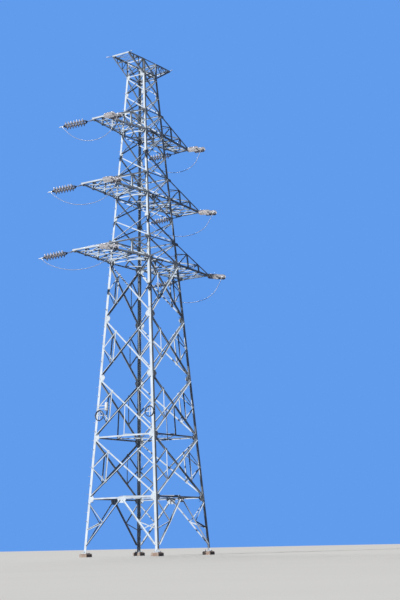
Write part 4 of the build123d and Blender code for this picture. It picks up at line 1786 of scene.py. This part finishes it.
@dataclass
class ArmDetails:
    """Light lacing, node plates and bolts of each crossarm, and the earth wire clamps."""

    body: TowerBody
    bays: int = 3
    chord: float = 0.080
    flange: float = 0.008
    lacing: float = 0.045
    lacing_wall: float = 0.005
    slant_half: float = 0.035
    slant_seat: float = 0.028
    post: float = 0.056
    post_spread: float = 1.4
    plate_wall: float = 0.009
    plate_depth: float = 0.018
    plate_high: float = 0.085
    plate_upright: float = 0.045
    inner_plate: float = 0.115
    end_plate: float = 0.150
    plate_share: float = 0.6
    strut_depth: float = 0.013
    strut_gaps: Band = (0.05, 0.06)
    flat_shares: tuple[float, ...] = (0.030, 1 / 3, 2 / 3, 0.985)
    slant_shares: tuple[float, ...] = (0.030, 1 / 3, 2 / 3, 0.950)
    tip_inset: Point = (0.075, 0.040)
    tip_bolts: tuple[Point, ...] = ((-0.045, -0.060), (-0.045, 0.0), (0.045, -0.060), (0.045, 0.0))
    gusset: tuple[Point, ...] = ((0.0, 0.010), (0.140, 0.010), (0.140, 0.070), (0.060, 0.110), (0.0, 0.110))
    gusset_inset: Point = (0.150, 0.012)
    earth_turn: float = 30.0
    earth_dip: float = 0.05
    earth_anchor: tuple[float, float, float] = (1.820, 0.545, -0.045)
    earth_clamp: tuple[Point, ...] = (
        (0.0, 0.0), (0.010, 0.0), (0.012, 0.050), (0.022, 0.062), (0.022, 0.160), (0.016, 0.185),
        (0.013, 0.250), (0.0, 0.248))

    def corners(self, arm: ArmEnd, way: int) -> tuple[Vector, Vector, Vector]:
        """Roots of both chords and the tip on one side of an arm.

        Args:
            arm: the arm's end.
            way: 1 for the rear truss and -1 for the front one.

        Returns:
            The root of the flat chord, the root of the slanted chord and the tip.
        """
        top = arm.level + self.body.arm_depth
        low = self.body.half(arm.level)
        high = self.body.half(top)
        return (Vector((arm.hand * low, way * low, arm.level)), Vector((arm.hand * high, way * high, top)),
                Vector((arm.hand * arm.reach, way * arm.end_half, arm.level)))

    def truss(self, bars: Workpiece, plates: Workpiece, bolts: Workpiece, arm: ArmEnd, way: int,
              bolt: bpy.types.Mesh) -> None:
        """Plates and bolts of one side truss, the outer angles of its double posts, and its root strut.

        Args:
            bars: work piece of the struts.
            plates: work piece of the plates.
            bolts: work piece of the bolts.
            arm: the arm's end.
            way: 1 for the rear truss and -1 for the front one.
            bolt: bolt shape.
        """
        low, high, tip = self.corners(arm, way)
        along = (tip - low).normalized()
        out = (high - tip).cross(low - tip).normalized()
        out = out if out.y * way > 0 else -out
        upward = out.cross(along).normalized()
        upward = upward if upward.z > 0 else -upward
        for step in range(self.bays + 1):
            share = step / self.bays
            for start, lift in ((low, 0.5), (high, -0.5)):
                if step == self.bays and lift < 0:
                    continue
                place = start.lerp(tip, share) + upward * self.chord * lift
                wide = self.inner_plate if 0 < step < self.bays else self.end_plate
                shift = along * (wide if step == 0 else -wide if step == self.bays else 0.0)
                outline = cut_plate(wide, self.plate_high, wide * self.plate_share, self.plate_upright)
                seat = matrix_of(along, out.cross(along), out, place + shift - out * self.plate_depth)
                plates.prism(outline, seat, self.plate_wall)
                for across in (-self.plate_share, 0.0, self.plate_share):
                    spot = place + shift + along * across * wide
                    bolts.stamp(bolt, matrix_of(along, out.cross(along), out, spot))
        section = angle_section(self.post, self.lacing_wall, arm.hand * way)
        beside = along * (self.lacing + self.post) / 2
        inward = out * self.flange
        for step in range(1, self.bays):
            foot = low.lerp(tip, step / self.bays) + upward * self.chord / 2
            head = high.lerp(tip + upward * self.slant_half, step / self.bays)
            bars.bar(section, foot + beside - inward, head + beside * self.post_spread - inward, -out)
        root = low.lerp(high, 0.5)
        node = high.lerp(tip, 1 / self.bays)
        root_gap, node_gap = self.strut_gaps
        inward = out * self.strut_depth
        section = angle_section(self.lacing, self.lacing_wall)
        bars.bar(section, root + along * root_gap - inward, node - along * node_gap - inward, -out)

    def flat_node(self, arm: ArmEnd, share: float, way: int, lift: float) -> Vector:
        """Place on the flange of a flat chord.

        Args:
            arm: the arm's end.
            share: distance out from the body, 1 at the tip.
            way: 1 for the rear chord and -1 for the front one.
            lift: height above the arm's level.

        Returns:
            The point.
        """
        low, _, tip = self.corners(arm, way)
        return low.lerp(tip, share) + Vector((0.0, -way * self.chord / 2, lift))

    def plan_lacing(self, bars: Workpiece, bolts: Workpiece, arm: ArmEnd, bolt: bpy.types.Mesh) -> None:
        """Crossed angles and struts in the arm's flat plane: a layer above the chords' flanges and one below.

        Args:
            bars: work piece of the bars.
            bolts: work piece of the bolts.
            arm: the arm's end.
            bolt: bolt shape.
        """
        section = angle_section(self.lacing, self.lacing_wall)
        for bay, (near, far) in enumerate(zip(self.flat_shares, self.flat_shares[1:])):
            way = 1 if bay % 2 == 0 else -1
            above = self.flat_node(arm, near, way, self.flange), self.flat_node(arm, far, -way, self.flange)
            below = self.flat_node(arm, near, -way, 0.0), self.flat_node(arm, far, way, 0.0)
            bars.bar(section, *above, UP)
            bars.bar(section, *below, -UP)
        for step in range(1, 2 * self.bays):
            ends = [self.flat_node(arm, step / (2 * self.bays), way, self.flange) for way in (-1, 1)]
            bars.bar(section, *ends, UP)
            for end in ends:
                bolts.stamp(bolt, Matrix.Translation(end + UP * self.lacing_wall))

    def slant_node(self, arm: ArmEnd, share: float, way: int, normal: Vector) -> Vector:
        """Place under the flange of a slanted chord.

        Args:
            arm: the arm's end.
            share: distance out from the body, 1 at the tip.
            way: 1 for the rear chord and -1 for the front one.
            normal: upward direction square to the slanted plane.

        Returns:
            The point.
        """
        high, tip = self.corners(arm, way)[1:]
        place = high.lerp(tip + UP * self.slant_half, share)
        return place + Vector((0.0, -way * self.slant_half, 0.0)) + normal * self.slant_seat

    def slanted_lacing(self, bars: Workpiece, arm: ArmEnd) -> None:
        """Zigzag of light angles under the flanges of the two slanted chords.

        Args:
            bars: work piece of the bars.
            arm: the arm's end.
        """
        high, tip = self.corners(arm, 1)[1:]
        run = tip + UP * self.slant_half - high
        normal = Vector((-arm.hand * run.z, 0.0, arm.hand * run.x)).normalized()
        normal = normal if normal.z > 0 else -normal
        section = angle_section(self.lacing, self.lacing_wall)
        for bay, (near, far) in enumerate(zip(self.slant_shares, self.slant_shares[1:])):
            way = 1 if bay % 2 else -1
            start = self.slant_node(arm, near, way, normal)
            end = self.slant_node(arm, far, -way, normal)
            bars.bar(section, start, end, -normal)

    def tip(self, plates: Workpiece, bolts: Workpiece, arm: ArmEnd, bolt: bpy.types.Mesh) -> None:
        """Bolts of the two plates that take the strings, and the gusset above each.

        Args:
            plates: work piece of the plates.
            bolts: work piece of the bolts.
            arm: the arm's end.
            bolt: bolt shape.
        """
        along, across = self.tip_inset
        back, side = self.gusset_inset
        for way in (-1, 1):
            middle = Vector((
                arm.hand * (arm.reach - along), way * (arm.end_half - across), arm.level + self.flange))
            for dx, dy in self.tip_bolts:
                bolts.stamp(bolt, Matrix.Translation(middle + Vector((dx, way * dy, 0.0))))
            foot = Vector((arm.hand * (arm.reach - back), way * (arm.end_half - side), arm.level))
            seat = matrix_of(Vector((arm.hand, 0, 0)), UP, Vector((0, -arm.hand, 0)), foot)
            plates.prism(self.gusset, seat, self.flange)

    def earth_clamps(self, finishes: Finishes) -> None:
        """Shackles and short clamps at the four corners of the earth wire arms.

        Args:
            finishes: the tower's materials.
        """
        fittings = Workpiece("earth_wire_shackles")
        clamps = Workpiece("earth_wire_clamps")
        bow = Stock.bow("earth_bow", radius=0.016, rod=0.008, leg=0.034)
        bolt = Stock.bolt("earth_bolt", across=0.028, grip=0.034)
        body = Stock.turned("earth_clamp", self.earth_clamp, steps=10)
        turn = math.radians(self.earth_turn)
        x, y, rise = self.earth_anchor
        for hand in (-1, 1):
            for end in (-1, 1):
                heading = Vector((-math.sin(turn), end * math.cos(turn), -self.earth_dip)).normalized()
                side = heading.cross(UP).normalized()
                anchor = Vector((hand * x, end * y, self.body.top_level + rise))
                seat = matrix_of(side.cross(heading), side * -1.0, heading, anchor)
                fittings.stamp(bow, seat @ shifted(0.0, 0.0, 0.036))
                fittings.stamp(bow, seat @ shifted(0.0, 0.0, 0.100) @ turned_about("Z", QUARTER_TURN))
                fittings.stamp(bolt, seat @ shifted(0.0, 0.026, 0.006) @ turned_about("X", -QUARTER_TURN))
                clamps.stamp(body, seat @ shifted(0.0, 0.0, 0.110))
        fittings.finished(finishes.forging, Slot.FITTINGS)
        clamps.finished(finishes.clamp, Slot.FITTINGS)

    def build(self, finishes: Finishes) -> None:
        """Makes the details of all arms.

        Args:
            finishes: the tower's materials.
        """
        bolt = Stock.bolt("arm_bolt", across=0.030, grip=0.026)
        for arm in ARM_ENDS:
            bars = Workpiece(f"root_struts_{arm.label}")
            plates = Workpiece(f"arm_plates_{arm.label}")
            bolts = Workpiece(f"arm_bolts_{arm.label}")
            for way in (-1, 1):
                self.truss(bars, plates, bolts, arm, way, bolt)
            self.tip(plates, bolts, arm, bolt)
            self.plan_lacing(bars, bolts, arm, bolt)
            self.slanted_lacing(bars, arm)
            bars.finished(finishes.arm, Slot.ARM)
            plates.finished(finishes.plate, Slot.ARM)
            bolts.finished(finishes.bolt, Slot.ARM)
        self.earth_clamps(finishes)


@dataclass
class SpareCable:
    """Two tied coils of cable on their cross racks, and the joint box between them on the left side."""

    body: TowerBody
    coil_level: float = 7.050
    coil_inset: float = 0.235
    coil_radius: float = 0.255
    cable: float = 0.0075
    turns: int = 9
    bundle: float = 0.019
    bundle_lift: float = 0.031
    jitter: float = 0.003
    wobble: float = 0.012
    ties: int = 8
    tie_radius: float = 0.0285
    tie_rod: float = 0.0025
    rack_half: float = 0.300
    rack_width: float = 0.040
    rack_wall: float = 0.006
    rack_lip: float = 0.060
    box_level: float = 7.460
    box_inset: float = 0.700
    box_radius: float = 0.105
    box_half: float = 0.225
    entries: tuple[float, ...] = (0.6, 1.8, 3.0, 4.2, 5.4)
    entry: tuple[Point, ...] = (
        (0.0, 0.0), (0.016, 0.0), (0.016, 0.030), (0.020, 0.032), (0.020, 0.052), (0.0, 0.054))
    bracket_rise: float = 0.080
    bracket_ends: Band = (0.015, 0.060)

    def rack(self, piece: Workpiece, side: BodySide, x: float) -> None:
        """Cross of two flat bars whose ends are bent out to hold the turns.

        Args:
            piece: work piece it joins.
            side: the body's side.
            x: place of its middle along the side.
        """
        right = side.right()
        out = side.normal(self.coil_level)
        up = out.cross(right)
        centre = side.point(x, self.coil_level, 0.0)
        section = flat_section(self.rack_width, self.rack_wall)
        for along in (right, up):
            piece.bar(section, centre - along * self.rack_half, centre + along * self.rack_half, out)
            for way in (-1, 1):
                tip = centre + along * way * (self.rack_half - self.rack_wall / 2)
                piece.bar(section, tip, tip + out * self.rack_lip, along * way)

    def coil(self, finishes: Finishes, name: str, hand: int) -> None:
        """One coil: its turns lie a little unevenly, and straps tie them to the rack.

        Args:
            finishes: the tower's materials.
            name: front or back.
            hand: 1 where the rack is by the side's right leg and -1 by its left leg.
        """
        side = BodySide(self.body, Side.LEFT)
        x = hand * (self.body.half(self.coil_level) - self.coil_inset)
        chance = Random(7 + hand)
        loops = Workpiece(f"coil_turns_{name}")
        rack = Workpiece(f"coil_rack_{name}")
        ties = Workpiece(f"coil_ties_{name}")
        seat = side.seat(x, self.coil_level, self.rack_wall + self.bundle_lift)
        for turn in range(self.turns):
            angle = math.tau * turn / self.turns
            shift = self.bundle * (0.55 + 0.45 * chance.random())
            radius = self.coil_radius + shift * math.cos(angle)
            ring = Stock.ring("cable_turn", radius, self.cable, steps=44, sides=6)
            dx, dy = (chance.uniform(-self.jitter, self.jitter) for _ in range(2))
            tilts = [turned_about(axis, chance.uniform(-self.wobble, self.wobble)) for axis in "XY"]
            loops.stamp(ring, seat @ shifted(dx, dy, shift * math.sin(angle)) @ tilts[0] @ tilts[1])
        strap = Stock.ring("coil_tie", self.tie_radius, self.tie_rod, steps=12, sides=4)
        for index in range(self.ties):
            angle = math.tau * (index + 0.5) / self.ties
            upright = shifted(self.coil_radius, 0.0, 0.0) @ turned_about("X", QUARTER_TURN)
            ties.stamp(strap, seat @ turned_about("Z", angle) @ upright)
        self.rack(rack, side, x)
        loops.finished(finishes.sheath, Slot.SHEATH, [f"cable_coil_{name}"])
        rack.finished(finishes.bracing, Slot.SHEATH)
        ties.finished(finishes.bolt, Slot.SHEATH)

    def box(self, finishes: Finishes) -> None:
        """Domed joint box on two brackets, with its clamp ring and cable entries.

        Args:
            finishes: the tower's materials.
        """
        side = BodySide(self.body, Side.LEFT)
        right = side.right()
        up = side.normal(self.box_level).cross(right)
        radius = self.box_radius
        half = self.box_half
        middle = side.point(self.box_inset - self.body.half(self.box_level), self.box_level, radius)
        place = matrix_of(right, up.cross(right), up, middle)
        dome = Stock.turned("box_dome", (
            (0.0, -half + 0.050), (radius * 0.94, -half + 0.050), (radius * 0.94, -half + 0.095),
            (radius, -half + 0.100), (radius, -half + 0.135), (radius * 0.90, -half + 0.140),
            (radius * 0.88, half - 0.060), (radius * 0.78, half - 0.022), (radius * 0.45, half - 0.004),
            (0.0, half)), steps=28)
        band = Stock.turned("box_band", (
            (radius * 0.96, -half + 0.102), (radius, -half + 0.104), (radius, -half + 0.131),
            (radius * 0.96, -half + 0.133), (radius * 0.96, -half + 0.102)), steps=28)
        entry = Stock.turned("cable_entry", self.entry, steps=10)
        clip = Stock.ring("box_clip", radius * 0.93, 0.005, steps=20, sides=6)
        shell = Workpiece("joint_box_shell")
        metal = Workpiece("joint_box_mounts")
        shell.stamp(dome, place)
        metal.stamp(band, place)
        for angle in self.entries:
            spot = Vector((math.cos(angle) * radius * 0.55, math.sin(angle) * radius * 0.55, -half))
            shell.stamp(entry, place @ Matrix.Translation(spot))
        section = flat_section(self.rack_width, self.rack_wall)
        near, far = self.bracket_ends
        for rise in (-self.bracket_rise, self.bracket_rise):
            level = self.box_level + rise
            start = side.point(near - self.body.half(level), level)
            end = side.point(self.box_inset + far - self.body.half(level), level)
            metal.bar(section, start, end, side.normal(level))
            metal.stamp(clip, place @ shifted(0.0, 0.0, rise))
        shell.finished(finishes.paint, Slot.BOX, ["joint_box"])
        metal.finished(finishes.bracing, Slot.BOX)

    def build(self, finishes: Finishes) -> None:
        """Makes both coils and the box.

        Args:
            finishes: the tower's materials.
        """
        self.coil(finishes, "front", 1)
        self.coil(finishes, "back", -1)
        self.box(finishes)


def finish_solids(finishes: Finishes) -> None:
    """Gives every solid that stays in sight its material: bracing, unless its name says otherwise.

    Args:
        finishes: the tower's materials.
    """
    chosen = {"leg_": finishes.leg, "crossarm_": finishes.arm, "earth_arm_": finishes.arm}
    for name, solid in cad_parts.items():
        fitting = (choice for start, choice in chosen.items() if name.startswith(start))
        solid.data.materials.clear()
        solid.data.materials.append(next(fitting, finishes.bracing))


def main() -> None:
    """Builds the scene piece by piece."""
    logging.basicConfig(level=logging.INFO, format="%(name)s %(message)s")
    Viewpoint().build()
    finishes = Finishes()
    JumperCables().build(finishes)
    Studio().build()
    finish_solids(finishes)
    body = TowerBody()
    StrainStrings().build(finishes)
    FineBracing(body).build(finishes)
    LegHardware(body).build(finishes)
    Footings(body).build(finishes)
    ArmDetails(body).build(finishes)
    SpareCable(body).build(finishes)


if __name__ == "__main__":
    main()
